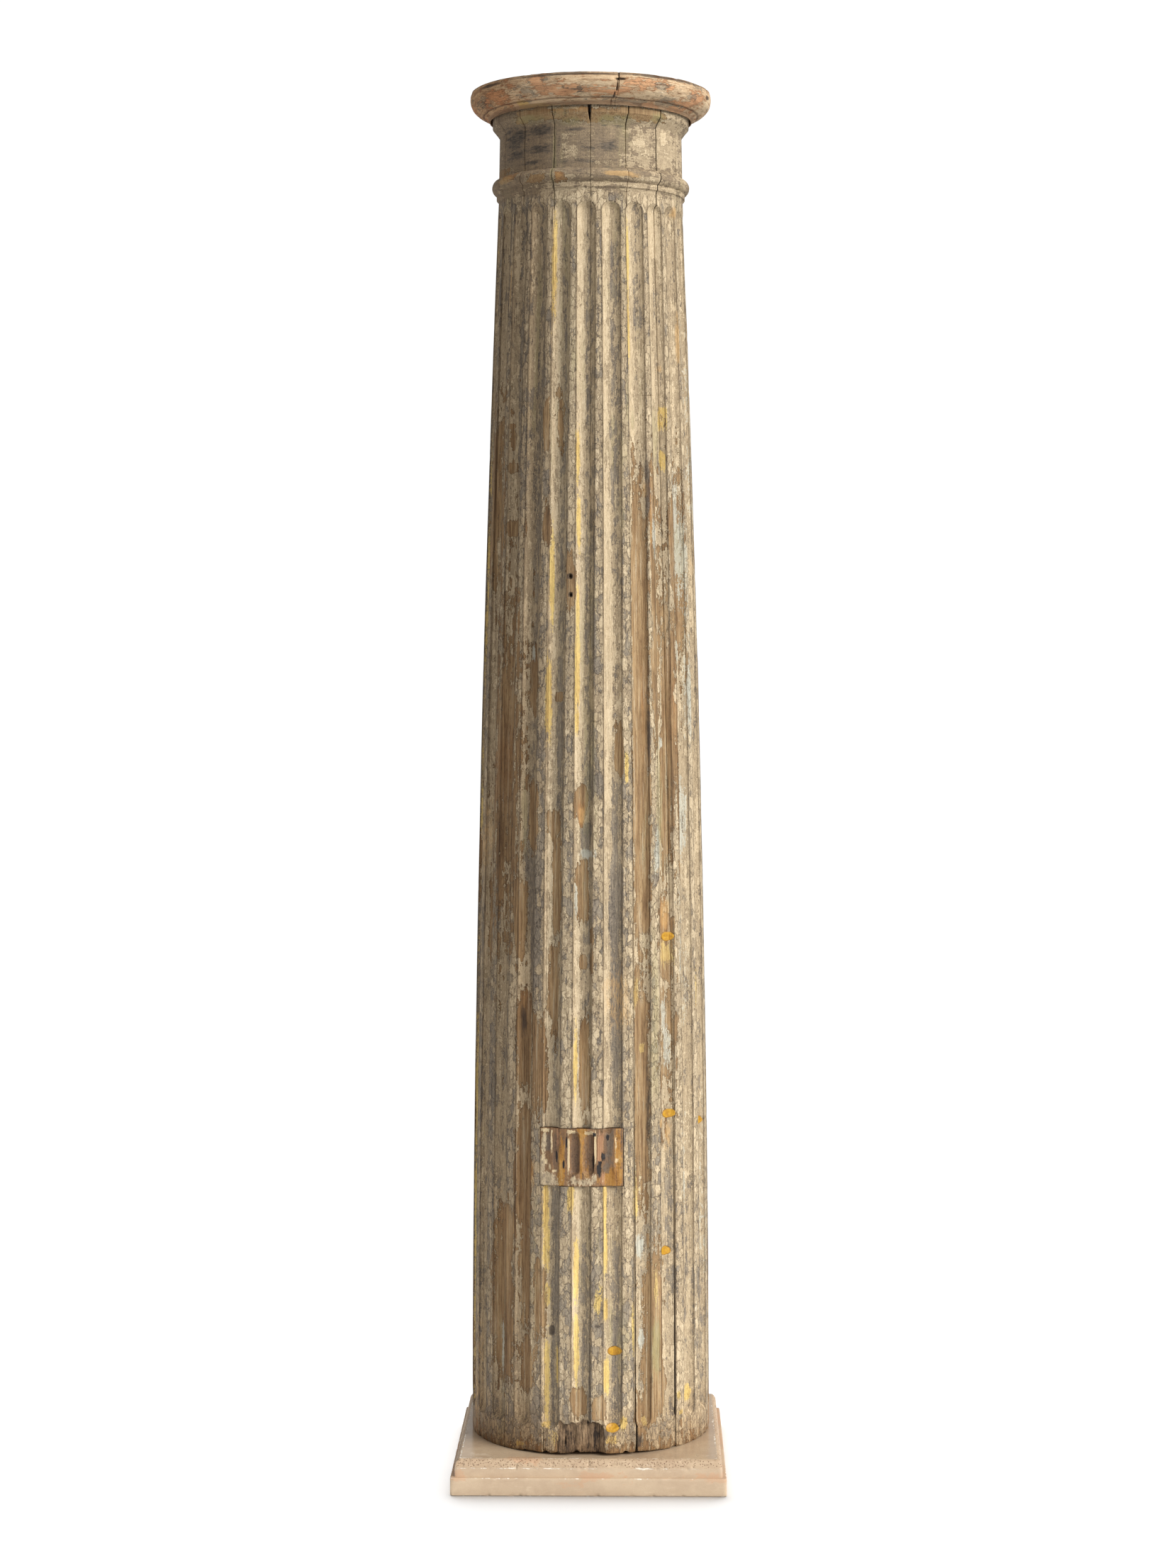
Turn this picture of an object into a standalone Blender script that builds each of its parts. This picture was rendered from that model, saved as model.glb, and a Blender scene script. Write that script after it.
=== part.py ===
"""A tall painted wooden column on a square stone plinth.

The shaft is coopered from sixteen straight-backed staves, turned outside with a slight swell
and cut with twenty-four flutes. The staves run on through the astragal, the plain neck and the
band under the capital, which is a turned ring in six mitred segments. One old repair is let
into the front, and amber filler sits in the flutes where fixings were covered.

Metres, +Z up, origin at the middle of the plinth's underside, front towards -Y.
Azimuths are in degrees from the front, positive towards +X.
"""
import math

import bmesh
import bpy

MM = 0.001

# Gap left between neighbouring pieces
JOINT_GAP = 0.3 * MM

# Plinth: a square slab in two tiers, the upper one moulded
PLINTH_WIDTH = 459.4 * MM
LOWER_TIER_HEIGHT = 29.7 * MM
UPPER_TIER_HEIGHT = 28.8 * MM
UPPER_TIER_STEP = 7.0 * MM
OVOLO_REACH = 9.4 * MM
OVOLO_HEIGHT = 14.5 * MM
PLINTH_ARRIS = 1.5 * MM

# Shaft, measured up from its foot
SHAFT_HEIGHT = 2118.3 * MM
FOOT_RADIUS = 205.0 * MM
SHAFT_TOP_RADIUS = 159.6 * MM
SWELL_POWER = 1.85
SHAFT_ROWS = 5

# Flutes
FLUTE_COUNT = 24
FLUTE_WIDTH = 32.6 * MM
FLUTE_DEPTH = 9.8 * MM
FLUTE_TOP_MARGIN = 17.5 * MM
FLUTE_FOOT_MARGIN = 44.0 * MM
FLUTE_TURN = -1.75
FLUTE_DRIFT = -2.0
FLUTE_SIDES = 11
FLUTE_END_ROWS = 3
FLUTE_ROWS = 5

# Mouldings above the shaft
CAVETTO_HEIGHT = 5.9 * MM
ASTRAGAL_FILLET_RADIUS = 163.1 * MM
ASTRAGAL_FILLET_HEIGHT = 9.0 * MM
BEAD_RADIUS = 12.3 * MM
BEAD_REACH = 171.1 * MM
NECK_LOWER_RADIUS = 158.7 * MM
NECK_UPPER_RADIUS = 157.3 * MM
NECK_HEIGHT = 74.0 * MM
BAND_RADIUS = 169.9 * MM
BAND_SLOPE_HEIGHT = 17.0 * MM
BAND_HEIGHT = 36.0 * MM
ARC_SEGMENTS = 3
BEAD_SEGMENTS = 5

# Staves
STAVE_COUNT = 16
STAVE_TURN = 0.6
STAVE_FOOT_THICKNESS = 42.0 * MM
STAVE_TOP_THICKNESS = 42.0 * MM
TURNED_STEPS = 72

# Capital ring
RING_COUNT = 6
RING_TURN = 14.2
RING_SEAT_THICKNESS = 23.8 * MM
RING_BORE_RADIUS = 148.0 * MM
RING_ARRIS_RADIUS = 206.8 * MM
RING_BULGE_RADIUS = 208.6 * MM
RING_BULGE_DROP = 11.8 * MM
RING_RIDGE_RADIUS = 184.7 * MM
RING_RIDGE_DROP = 38.8 * MM
RING_OVOLO_REACH = 34.0 * MM
RING_LIP_RADIUS = 175.4 * MM
RING_LIP_DROP = 48.8 * MM
RING_LIP_WIDTH = 1.5 * MM
RING_RIDGE_EDGE = 1.6 * MM
RING_OVOLO_SEGMENTS = 4
RING_HOLLOW_SEGMENTS = 2
RING_STEPS = 54

# Joints between staves that have opened, and how far up from the foot
BAND_JOINT_OPENING = 4.5 * MM
FRONT_JOINT_OPENING = 2.6 * MM
FRONT_JOINT_REACH = 640.0 * MM
RIGHT_JOINT_OPENING = 2.0 * MM
RIGHT_JOINT_REACH = 409.0 * MM
LEFT_JOINT_OPENING = 3.0 * MM
LEFT_JOINT_REACH = 70.0 * MM

# Repair let into the front of the shaft
PATCH_AZIMUTH = -3.65
PATCH_WIDTH = 141.0 * MM
PATCH_HEIGHT = 97.0 * MM
PATCH_BOTTOM = 449.0 * MM
PATCH_DEPTH = 27.0 * MM

# Amber filler plugs: azimuth and height above the foot
PLUG_WIDTH = 25.0 * MM
PLUG_HEIGHT = 15.0 * MM
PLUG_DEPTH_BELOW_FLUTE = 6.0 * MM
PLUG_SIDES = 10
PLUG_PLACES = [
    (44.0, 861.0 * MM),
    (69.6, 736.5 * MM),
    (43.5, 562.8 * MM),
    (72.6, 538.5 * MM),
    (41.1, 332.5 * MM),
    (12.7, 173.7 * MM),
    (11.3, 46.3 * MM),
]

# Wood broken away at the front of the foot
BREAK_AZIMUTH = -3.6
BREAK_WIDTH = 80.0 * MM
BREAK_HEIGHT = 57.0 * MM
BREAK_DEPTH = 9.0 * MM
BREAK_WAVE = 3.0 * MM
BREAK_SEGMENTS = 9

# Colour, roughness and metallic value of each finish
FINISHES = {
    "flaking_paint": ((0.50, 0.41, 0.28, 1.0), 0.75, 0.0),
    "weathered_paint": ((0.42, 0.34, 0.24, 1.0), 0.78, 0.0),
    "patch_wood": ((0.36, 0.19, 0.06, 1.0), 0.55, 0.0),
    "amber_filler": ((0.58, 0.30, 0.03, 1.0), 0.40, 0.0),
    "pale_stone": ((0.62, 0.50, 0.40, 1.0), 0.55, 0.0),
}

FOOT_LEVEL = LOWER_TIER_HEIGHT + UPPER_TIER_HEIGHT + JOINT_GAP
BEAD_CENTRE_RADIUS = BEAD_REACH - BEAD_RADIUS
BEAD_FOOT_ANGLE = -math.acos((ASTRAGAL_FILLET_RADIUS - BEAD_CENTRE_RADIUS) / BEAD_RADIUS)
BEAD_HEIGHT = SHAFT_HEIGHT + CAVETTO_HEIGHT + ASTRAGAL_FILLET_HEIGHT - BEAD_RADIUS * math.sin(
    BEAD_FOOT_ANGLE)
NECK_FOOT = BEAD_HEIGHT + BEAD_RADIUS
NECK_TOP = NECK_FOOT + NECK_HEIGHT
BAND_FOOT = NECK_TOP + BAND_SLOPE_HEIGHT
STAVE_TOP = BAND_FOOT + BAND_HEIGHT
RING_TOP = STAVE_TOP + JOINT_GAP + RING_SEAT_THICKNESS
STEP_ANGLE = 360.0 / TURNED_STEPS
BLANK_REACH = BAND_RADIUS + FOOT_RADIUS

# Joint number, counted from the front towards +X, then pairs of height and opening
OPEN_JOINTS = {
    0: [(NECK_TOP, 0.0), (BAND_FOOT, BAND_JOINT_OPENING)],
    1: [(0.0, FRONT_JOINT_OPENING), (FRONT_JOINT_REACH, 0.0)],
    2: [(0.0, RIGHT_JOINT_OPENING), (RIGHT_JOINT_REACH, 0.0)],
    13: [(0.0, LEFT_JOINT_OPENING), (LEFT_JOINT_REACH, 0.0)],
}


def clear_scene():
    """Remove whatever the scene holds."""
    for obj in list(bpy.data.objects):
        bpy.data.objects.remove(obj, do_unlink=True)


def make_collection(name):
    """Return a new collection linked to the scene."""
    collection = bpy.data.collections.new(name)
    bpy.context.scene.collection.children.link(collection)
    return collection


def make_finishes():
    """Make one Principled material for each finish."""
    materials = {}
    for name, (colour, roughness, metallic) in FINISHES.items():
        material = bpy.data.materials.new(name)
        material.use_nodes = True
        shader = material.node_tree.nodes["Principled BSDF"]
        shader.inputs["Base Color"].default_value = colour
        shader.inputs["Roughness"].default_value = roughness
        shader.inputs["Metallic"].default_value = metallic
        material.diffuse_color = colour
        materials[name] = material
    return materials


def add_object(name, mesh, collection, azimuth=90.0, height=0.0):
    """Place a mesh whose +X points outwards at an azimuth and a height."""
    obj = bpy.data.objects.new(name, mesh)
    collection.objects.link(obj)
    obj.location.z = height
    obj.rotation_euler.z = math.radians(azimuth - 90.0)
    return obj


def as_cutter(obj):
    """Mark an object as a construction shape that is not part of the column."""
    obj.hide_render = True
    obj.display_type = "WIRE"
    return obj


def mesh_from_bmesh(name, shape):
    """Turn a bmesh into a mesh and free it."""
    mesh = bpy.data.meshes.new(name)
    shape.to_mesh(mesh)
    shape.free()
    return mesh


def add_boolean(obj, other, operation):
    """Add an exact Boolean modifier."""
    modifier = obj.modifiers.new(f"{operation.lower()}_{other.name}", "BOOLEAN")
    modifier.operation = operation
    modifier.solver = "EXACT"
    modifier.object = other


def arc(centre, radii, start, end, segments):
    """Points on an ellipse in the profile plane, angles in radians from straight out."""
    points = []
    for index in range(segments + 1):
        angle = start + (end - start) * index / segments
        radius = centre[0] + radii[0] * math.cos(angle)
        height = centre[1] + radii[1] * math.sin(angle)
        points.append((radius, height))
    return points


def shaft_radius(height):
    """Outer radius of the shaft at a height above its foot."""
    share = max(height, 0.0) / SHAFT_HEIGHT
    return FOOT_RADIUS - (FOOT_RADIUS - SHAFT_TOP_RADIUS) * share ** SWELL_POWER


def back_distance(height):
    """Distance from the axis to the flat backs of the staves."""
    foot = FOOT_RADIUS - STAVE_FOOT_THICKNESS
    top = SHAFT_TOP_RADIUS - STAVE_TOP_THICKNESS
    return foot + (top - foot) * height / STAVE_TOP


def column_profile():
    """Outline of the turned staves from the axis at the top to the axis at the foot."""
    points = [(0.0, STAVE_TOP), (BAND_RADIUS, STAVE_TOP)]
    points.append((BAND_RADIUS, BAND_FOOT))
    points.append((NECK_UPPER_RADIUS, NECK_TOP))
    points += arc(
        (BEAD_CENTRE_RADIUS, BEAD_HEIGHT), (BEAD_RADIUS, BEAD_RADIUS),
        math.pi / 2, BEAD_FOOT_ANGLE, BEAD_SEGMENTS)
    points[-BEAD_SEGMENTS - 1] = (NECK_LOWER_RADIUS, NECK_FOOT)
    cove = (SHAFT_TOP_RADIUS - ASTRAGAL_FILLET_RADIUS, CAVETTO_HEIGHT)
    points += arc(
        (ASTRAGAL_FILLET_RADIUS, SHAFT_HEIGHT), cove, math.pi / 2, 0.0, ARC_SEGMENTS - 1)
    for row in range(1, SHAFT_ROWS + 1):
        height = SHAFT_HEIGHT * (1.0 - row / SHAFT_ROWS)
        points.append((shaft_radius(height), height))
    points.append((0.0, 0.0))
    return points


def ring_profile():
    """Closed outline of the capital ring, from the top of its bore round its outer side."""
    bulge = RING_TOP - RING_BULGE_DROP
    ridge = RING_TOP - RING_RIDGE_DROP
    lip = RING_TOP - RING_LIP_DROP
    middle = RING_BULGE_RADIUS - RING_OVOLO_REACH
    end = -math.acos((RING_RIDGE_RADIUS - middle) / RING_OVOLO_REACH)
    depth = (ridge - bulge) / math.sin(end)
    hollow_top = ridge - RING_RIDGE_EDGE
    hollow_start = RING_RIDGE_RADIUS - RING_RIDGE_EDGE
    shoulder = (RING_ARRIS_RADIUS + RING_BULGE_RADIUS) / 2 + RING_BULGE_DROP / 24
    points = [(RING_BORE_RADIUS, RING_TOP), (RING_ARRIS_RADIUS, RING_TOP)]
    points.append((shoulder, RING_TOP - RING_BULGE_DROP / 2))
    points += arc((middle, bulge), (RING_OVOLO_REACH, depth), 0.0, end, RING_OVOLO_SEGMENTS)
    hollow = (RING_LIP_RADIUS - hollow_start, hollow_top - lip)
    points += arc((hollow_start, lip), hollow, math.pi / 2, 0.0, RING_HOLLOW_SEGMENTS)
    rebate = RING_LIP_RADIUS - RING_LIP_WIDTH
    points.append((rebate, lip))
    points.append((rebate, STAVE_TOP + JOINT_GAP))
    points.append((RING_BORE_RADIUS, STAVE_TOP + JOINT_GAP))
    return points


def plinth_profile():
    """Outline of the plinth's edge moulding as half-widths, from the top middle down."""
    half = PLINTH_WIDTH / 2
    upper = half - UPPER_TIER_STEP
    top = LOWER_TIER_HEIGHT + UPPER_TIER_HEIGHT
    points = [(0.0, top)]
    points += arc(
        (upper - OVOLO_REACH, top - OVOLO_HEIGHT), (OVOLO_REACH, OVOLO_HEIGHT),
        math.pi / 2, 0.0, ARC_SEGMENTS + 1)
    points.append((upper, LOWER_TIER_HEIGHT))
    points.append((half - PLINTH_ARRIS, LOWER_TIER_HEIGHT))
    points.append((half, LOWER_TIER_HEIGHT - PLINTH_ARRIS))
    points.append((half, 0.0))
    points.append((0.0, 0.0))
    return points


def add_turned(name, profile, collection, steps, azimuth=90.0, height=0.0, closed=False):
    """Sweep a profile round the Z axis with a Screw modifier."""
    mesh = bpy.data.meshes.new(name)
    edges = [(index, index + 1) for index in range(len(profile) - 1)]
    if closed:
        edges.append((len(profile) - 1, 0))
    mesh.from_pydata([(radius, 0.0, level) for radius, level in profile], edges, [])
    obj = add_object(name, mesh, collection, azimuth, height)
    screw = obj.modifiers.new("turn", "SCREW")
    screw.axis = "Z"
    screw.steps = steps
    screw.render_steps = steps
    screw.use_merge_vertices = True
    screw.merge_threshold = 0.01 * MM
    screw.use_normal_calculate = False
    return obj


def flute_azimuth(index, height):
    """Azimuth of a flute in radians: each drifts a little towards the foot."""
    share = 1.0 - min(max(height / SHAFT_HEIGHT, 0.0), 1.0)
    drift = FLUTE_DRIFT * share * share * (3.0 - 2.0 * share)
    return math.radians(FLUTE_TURN + drift + 360.0 * index / FLUTE_COUNT)


def add_flute_cutters(collection):
    """One round-ended cutter for each flute, bent to follow the swell of the shaft."""
    radius = (FLUTE_WIDTH ** 2 / 4 + FLUTE_DEPTH ** 2) / (2 * FLUTE_DEPTH)
    offset = radius - FLUTE_DEPTH
    low = FLUTE_FOOT_MARGIN + FLUTE_WIDTH / 2
    high = SHAFT_HEIGHT - FLUTE_TOP_MARGIN - FLUTE_WIDTH / 2
    outline = arc((0.0, low), (-radius, radius), -math.pi / 2, 0.0, FLUTE_END_ROWS)
    for row in range(1, FLUTE_ROWS):
        outline.append((-radius, low + (high - low) * row / FLUTE_ROWS))
    outline += arc((0.0, high), (-radius, radius), 0.0, math.pi / 2, FLUTE_END_ROWS)
    shape = bmesh.new()
    for index in range(FLUTE_COUNT):
        flute = bmesh.new()
        verts = [flute.verts.new((reach, 0.0, level)) for reach, level in outline]
        edges = [flute.edges.new(pair) for pair in zip(verts, verts[1:])]
        bmesh.ops.spin(
            flute, geom=verts + edges, cent=(0.0, 0.0, 0.0), axis=(0.0, 0.0, 1.0),
            angle=2 * math.pi, steps=FLUTE_SIDES, use_merge=True)
        bmesh.ops.remove_doubles(flute, verts=flute.verts, dist=0.01 * MM)
        bmesh.ops.recalc_face_normals(flute, faces=flute.faces)
        for vert in flute.verts:
            azimuth = flute_azimuth(index, vert.co.z)
            outwards = vert.co.x + shaft_radius(vert.co.z) + offset
            sideways = vert.co.y
            vert.co.x = outwards * math.sin(azimuth) + sideways * math.cos(azimuth)
            vert.co.y = sideways * math.sin(azimuth) - outwards * math.cos(azimuth)
        bmesh.ops.recalc_face_normals(flute, faces=flute.faces)
        one = mesh_from_bmesh("flute", flute)
        shape.from_mesh(one)
        bpy.data.meshes.remove(one)
    mesh = mesh_from_bmesh("flute_cutters", shape)
    return as_cutter(add_object("flute_cutters", mesh, collection, 90.0, FOOT_LEVEL))


def joint_opening(joint, height):
    """Width by which a joint between staves has opened at a height."""
    places = OPEN_JOINTS.get(joint % STAVE_COUNT)
    if not places:
        return 0.0
    if height <= places[0][0]:
        return places[0][1]
    for (low, low_width), (high, high_width) in zip(places, places[1:]):
        if height <= high:
            return low_width + (high_width - low_width) * (height - low) / (high - low)
    return places[-1][1]


def stave_blank(index):
    """Sawn board for one stave: flat back, radial edges, before turning."""
    half_angle = math.pi / STAVE_COUNT
    shape = bmesh.new()
    bmesh.ops.create_cube(shape, size=2.0)
    for vert in shape.verts:
        vert.co.z = STAVE_TOP * (vert.co.z + 1.0) / 2
    levels = {height for joint in (index, index + 1)
              for height, width in OPEN_JOINTS.get(joint % STAVE_COUNT, [])}
    for level in sorted(levels):
        if 0.0 < level < STAVE_TOP:
            everything = shape.verts[:] + shape.edges[:] + shape.faces[:]
            bmesh.ops.bisect_plane(
                shape, geom=everything, plane_co=(0.0, 0.0, level), plane_no=(0.0, 0.0, 1.0))
    for vert in shape.verts:
        side = 1.0 if vert.co.y > 0 else -1.0
        joint = index + (1 if vert.co.y > 0 else 0)
        setback = (JOINT_GAP + joint_opening(joint, vert.co.z)) / 2
        if vert.co.x > 0:
            reach = BLANK_REACH
        else:
            reach = back_distance(vert.co.z) / math.cos(half_angle)
        vert.co.x = reach * math.cos(half_angle) + setback * math.sin(half_angle)
        vert.co.y = side * (reach * math.sin(half_angle) - setback * math.cos(half_angle))
    return mesh_from_bmesh(f"stave_{index + 1:02d}", shape)


def box_mesh(name, inner, outer, width, low, high, grow):
    """Box from one distance from the axis to another, grown by a clearance inside its pocket."""
    shape = bmesh.new()
    bmesh.ops.create_cube(shape, size=1.0)
    for vert in shape.verts:
        vert.co.x = outer if vert.co.x > 0 else inner - grow
        vert.co.y *= width + 2 * grow
        vert.co.z = high + grow if vert.co.z > 0 else low - grow
    return mesh_from_bmesh(name, shape)


def plug_mesh(name, radius, grow):
    """Oval peg lying along +X, its outer end beyond the shaft's face."""
    inner = radius - FLUTE_DEPTH - PLUG_DEPTH_BELOW_FLUTE - grow
    outer = radius + PLUG_WIDTH
    shape = bmesh.new()
    bmesh.ops.create_cone(
        shape, cap_ends=True, segments=PLUG_SIDES, radius1=0.5, radius2=0.5, depth=1.0)
    for vert in shape.verts:
        along = outer if vert.co.z > 0 else inner
        sideways = vert.co.x * (PLUG_WIDTH + 2 * grow)
        upwards = vert.co.y * (PLUG_HEIGHT + 2 * grow)
        vert.co.x = along
        vert.co.y = sideways
        vert.co.z = upwards
    return mesh_from_bmesh(name, shape)


def break_mesh():
    """Rough block that takes the broken wood away, with a wavy upper edge."""
    inner = FOOT_RADIUS - BREAK_DEPTH
    shape = bmesh.new()
    bmesh.ops.create_cube(shape, size=1.0)
    for index in range(1, BREAK_SEGMENTS):
        everything = shape.verts[:] + shape.edges[:] + shape.faces[:]
        cut = index / BREAK_SEGMENTS - 0.5
        bmesh.ops.bisect_plane(
            shape, geom=everything, plane_co=(0.0, cut, 0.0), plane_no=(0.0, 1.0, 0.0))
    for vert in shape.verts:
        along = vert.co.y * 2 * math.pi
        wave = BREAK_WAVE * (math.sin(1.5 * along + 0.6) + 0.5 * math.sin(4.0 * along))
        taper = BREAK_WAVE * (2.0 * vert.co.y) ** 6
        vert.co.x = FOOT_RADIUS + BREAK_WIDTH if vert.co.x > 0 else inner + 0.3 * wave + taper
        vert.co.z = BREAK_HEIGHT + wave - 2 * taper if vert.co.z > 0 else -BREAK_HEIGHT
        vert.co.y *= BREAK_WIDTH
    return mesh_from_bmesh("foot_break", shape)


def let_in_piece(name, pocket_mesh, piece_mesh, azimuth, height, solid, collections, material):
    """Make a piece let into the shaft and return it with the cutter of its pocket."""
    pieces, cutters = collections
    pocket = as_cutter(add_object(f"{name}_pocket", pocket_mesh, cutters, azimuth, height))
    piece = add_object(name, piece_mesh, pieces, azimuth, height)
    piece.data.materials.append(material)
    add_boolean(piece, solid, "INTERSECT")
    return pocket


def add_plinth(collection, material):
    """Square moulded slab, swept round four sides and turned square to the axes."""
    diagonal = [(half * math.sqrt(2.0), level) for half, level in plinth_profile()]
    plinth = add_turned("plinth", diagonal, collection, 4, 45.0)
    plinth.data.materials.append(material)
    return plinth


def add_ring(collections, material):
    """Capital ring in mitred segments, each seated on the ends of the staves."""
    pieces, cutters = collections
    turn = RING_TURN + 180.0 / RING_STEPS
    whole = as_cutter(add_turned(
        "whole_ring", ring_profile(), cutters, RING_STEPS, turn, FOOT_LEVEL, closed=True))
    half_angle = math.pi / RING_COUNT
    setback = JOINT_GAP / 2
    for index in range(RING_COUNT):
        azimuth = RING_TURN + 360.0 * (index + 0.5) / RING_COUNT
        shape = bmesh.new()
        bmesh.ops.create_cube(shape, size=1.0)
        for vert in shape.verts:
            side = 1.0 if vert.co.y > 0 else -1.0
            reach = BLANK_REACH if vert.co.x > 0 else RING_BORE_RADIUS / 2
            vert.co.x = reach * math.cos(half_angle) + setback * math.sin(half_angle)
            vert.co.y = side * (reach * math.sin(half_angle) - setback * math.cos(half_angle))
            vert.co.z = RING_TOP + RING_LIP_DROP * vert.co.z * 4
        mesh = mesh_from_bmesh(f"capital_segment_{index + 1}", shape)
        segment = add_object(mesh.name, mesh, pieces, azimuth, FOOT_LEVEL)
        segment.data.materials.append(material)
        add_boolean(segment, whole, "INTERSECT")


def build_column():
    """Build every piece of the column."""
    clear_scene()
    finishes = make_finishes()
    pieces = make_collection("painted_column")
    cutters = make_collection("cutters")
    both = (pieces, cutters)

    add_plinth(pieces, finishes["pale_stone"])
    add_ring(both, finishes["weathered_paint"])

    turn = STAVE_TURN + 0.75 * STEP_ANGLE
    solid = as_cutter(add_turned(
        "turned_solid", column_profile(), cutters, TURNED_STEPS, turn, FOOT_LEVEL))
    add_boolean(solid, add_flute_cutters(cutters), "DIFFERENCE")

    pockets = []
    middle = shaft_radius(PATCH_BOTTOM + PATCH_HEIGHT / 2)
    size = (middle - PATCH_DEPTH, middle + PATCH_DEPTH, PATCH_WIDTH, 0.0, PATCH_HEIGHT)
    pockets.append(let_in_piece(
        "let_in_patch", box_mesh("patch_pocket", *size, JOINT_GAP),
        box_mesh("let_in_patch", *size, 0.0), PATCH_AZIMUTH, FOOT_LEVEL + PATCH_BOTTOM,
        solid, both, finishes["patch_wood"]))
    for number, (azimuth, height) in enumerate(PLUG_PLACES, start=1):
        name = f"filler_plug_{number}"
        radius = shaft_radius(height)
        pockets.append(let_in_piece(
            name, plug_mesh(f"{name}_pocket", radius, JOINT_GAP), plug_mesh(name, radius, 0.0),
            azimuth, FOOT_LEVEL + height, solid, both, finishes["amber_filler"]))
    pockets.append(as_cutter(add_object(
        "foot_break", break_mesh(), cutters, BREAK_AZIMUTH, FOOT_LEVEL)))

    for index in range(STAVE_COUNT):
        azimuth = STAVE_TURN + 360.0 * (index + 0.5) / STAVE_COUNT
        mesh = stave_blank(index)
        stave = add_object(mesh.name, mesh, pieces, azimuth, FOOT_LEVEL)
        stave.data.materials.append(finishes["flaking_paint"])
        add_boolean(stave, solid, "INTERSECT")
        for pocket in pockets:
            add_boolean(stave, pocket, "DIFFERENCE")


build_column()
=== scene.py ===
"""The painted column dressed over its measured model.

Sixteen coopered staves with worn flutes and flaking paint, a mitred capital ring, a scorched
repair let into the front, amber filler in the flutes and a honed limestone plinth.

Metres, +Z up, front towards -Y. Azimuths run from the front towards +X.
"""
import math

import bpy
import numpy as np
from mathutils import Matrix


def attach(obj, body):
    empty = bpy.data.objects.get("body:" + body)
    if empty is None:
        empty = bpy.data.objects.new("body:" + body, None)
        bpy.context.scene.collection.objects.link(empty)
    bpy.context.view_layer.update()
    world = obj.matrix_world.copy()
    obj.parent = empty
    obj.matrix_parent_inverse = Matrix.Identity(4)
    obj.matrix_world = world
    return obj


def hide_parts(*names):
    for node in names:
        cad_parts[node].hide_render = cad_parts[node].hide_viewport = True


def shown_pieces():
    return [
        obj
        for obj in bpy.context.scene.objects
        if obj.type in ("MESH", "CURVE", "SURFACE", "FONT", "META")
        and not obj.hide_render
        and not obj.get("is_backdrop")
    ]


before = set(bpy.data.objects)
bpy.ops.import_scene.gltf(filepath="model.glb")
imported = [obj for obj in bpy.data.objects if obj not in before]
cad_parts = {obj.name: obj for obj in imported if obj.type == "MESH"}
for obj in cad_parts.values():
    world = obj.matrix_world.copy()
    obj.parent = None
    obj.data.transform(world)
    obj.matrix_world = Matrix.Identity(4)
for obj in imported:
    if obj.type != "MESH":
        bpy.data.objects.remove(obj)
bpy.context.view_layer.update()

MM = 0.001

# Camera: where the photograph was taken from
PHOTO_WIDTH = 1659
PHOTO_HEIGHT = 2212
FOCAL_PIXELS = 4070.0
MIDDLE_X = 850.7
HORIZON_Y = 933.2
CAMERA_PLACE = (0.0889, -5.0103, 1.3838)
CAMERA_TURN = 0.772

# Studio
FLOOR_SIZE = 3.0
KEY_STRENGTH = 3.75
FLOOR_STRENGTH = 3.4
SKY_STRENGTH = 0.46

# Sizes of the column
FOOT_LEVEL = 58.8 * MM
SHAFT_HEIGHT = 2118.3 * MM
FOOT_RADIUS = 205.0 * MM
SHAFT_TOP_RADIUS = 159.6 * MM
SWELL_POWER = 1.85
CAVETTO_HEIGHT = 5.9 * MM
FILLET_RADIUS = 163.1 * MM
FILLET_HEIGHT = 9.0 * MM
BEAD_RADIUS = 12.3 * MM
BEAD_CENTRE_RADIUS = 158.8 * MM
BEAD_HEIGHT = 2144.7 * MM
NECK_FOOT_RADIUS = 158.7 * MM
NECK_TOP_RADIUS = 157.3 * MM
NECK_TOP = 2231.0 * MM
BAND_FOOT = 2248.0 * MM
BAND_RADIUS = 169.9 * MM
STAVE_TOP = 2284.0 * MM
BACK_AT_FOOT = 163.0 * MM
BACK_AT_TOP = 117.6 * MM

# Flutes
FLUTE_COUNT = 24
FLUTE_CUTTER = 18.46 * MM
FLUTE_OFFSET = 8.66 * MM
FLUTE_LOW = 60.3 * MM
FLUTE_HIGH = 2084.5 * MM
FLUTE_TURN = -1.75
FLUTE_DRIFT = -2.0

# Staves
STAVE_COUNT = 16
STAVE_TURN = 0.6
STAVE_ANGLE = 22.5
JOINT_GAP = 0.3 * MM
NECK_OPENING = 0.9 * MM
BAND_OPENING = 4.5 * MM
FRONT_OPENING = 3.0 * MM
FRONT_OPENING_REACH = 640.0 * MM
RIGHT_OPENING = 2.0 * MM
RIGHT_OPENING_REACH = 409.0 * MM
LEFT_OPENING = 3.0 * MM
LEFT_OPENING_REACH = 70.0 * MM

# Repair let into the front
PATCH_AZIMUTH = -3.65
PATCH_WIDTH = 141.0 * MM
PATCH_HEIGHT = 97.0 * MM
PATCH_BOTTOM = 449.0 * MM
PATCH_DEPTH = 27.0 * MM

# How finely the pieces are modelled
SEEN_TURN = 95.0
STAVE_COLUMNS = 50
STAVE_COLUMNS_HIDDEN = 34
STAVE_STEP = 5.6 * MM
STAVE_STEP_HIDDEN = 9.0 * MM
PATCH_COLUMNS = 112
PATCH_ROWS = 76
PLUG_COLUMNS = 30
PLUG_ROWS = 26
PLINTH_VERTICES = 800
NEAR_JOINT = 0.0022
JOINT_MARGIN = 0.008

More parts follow.
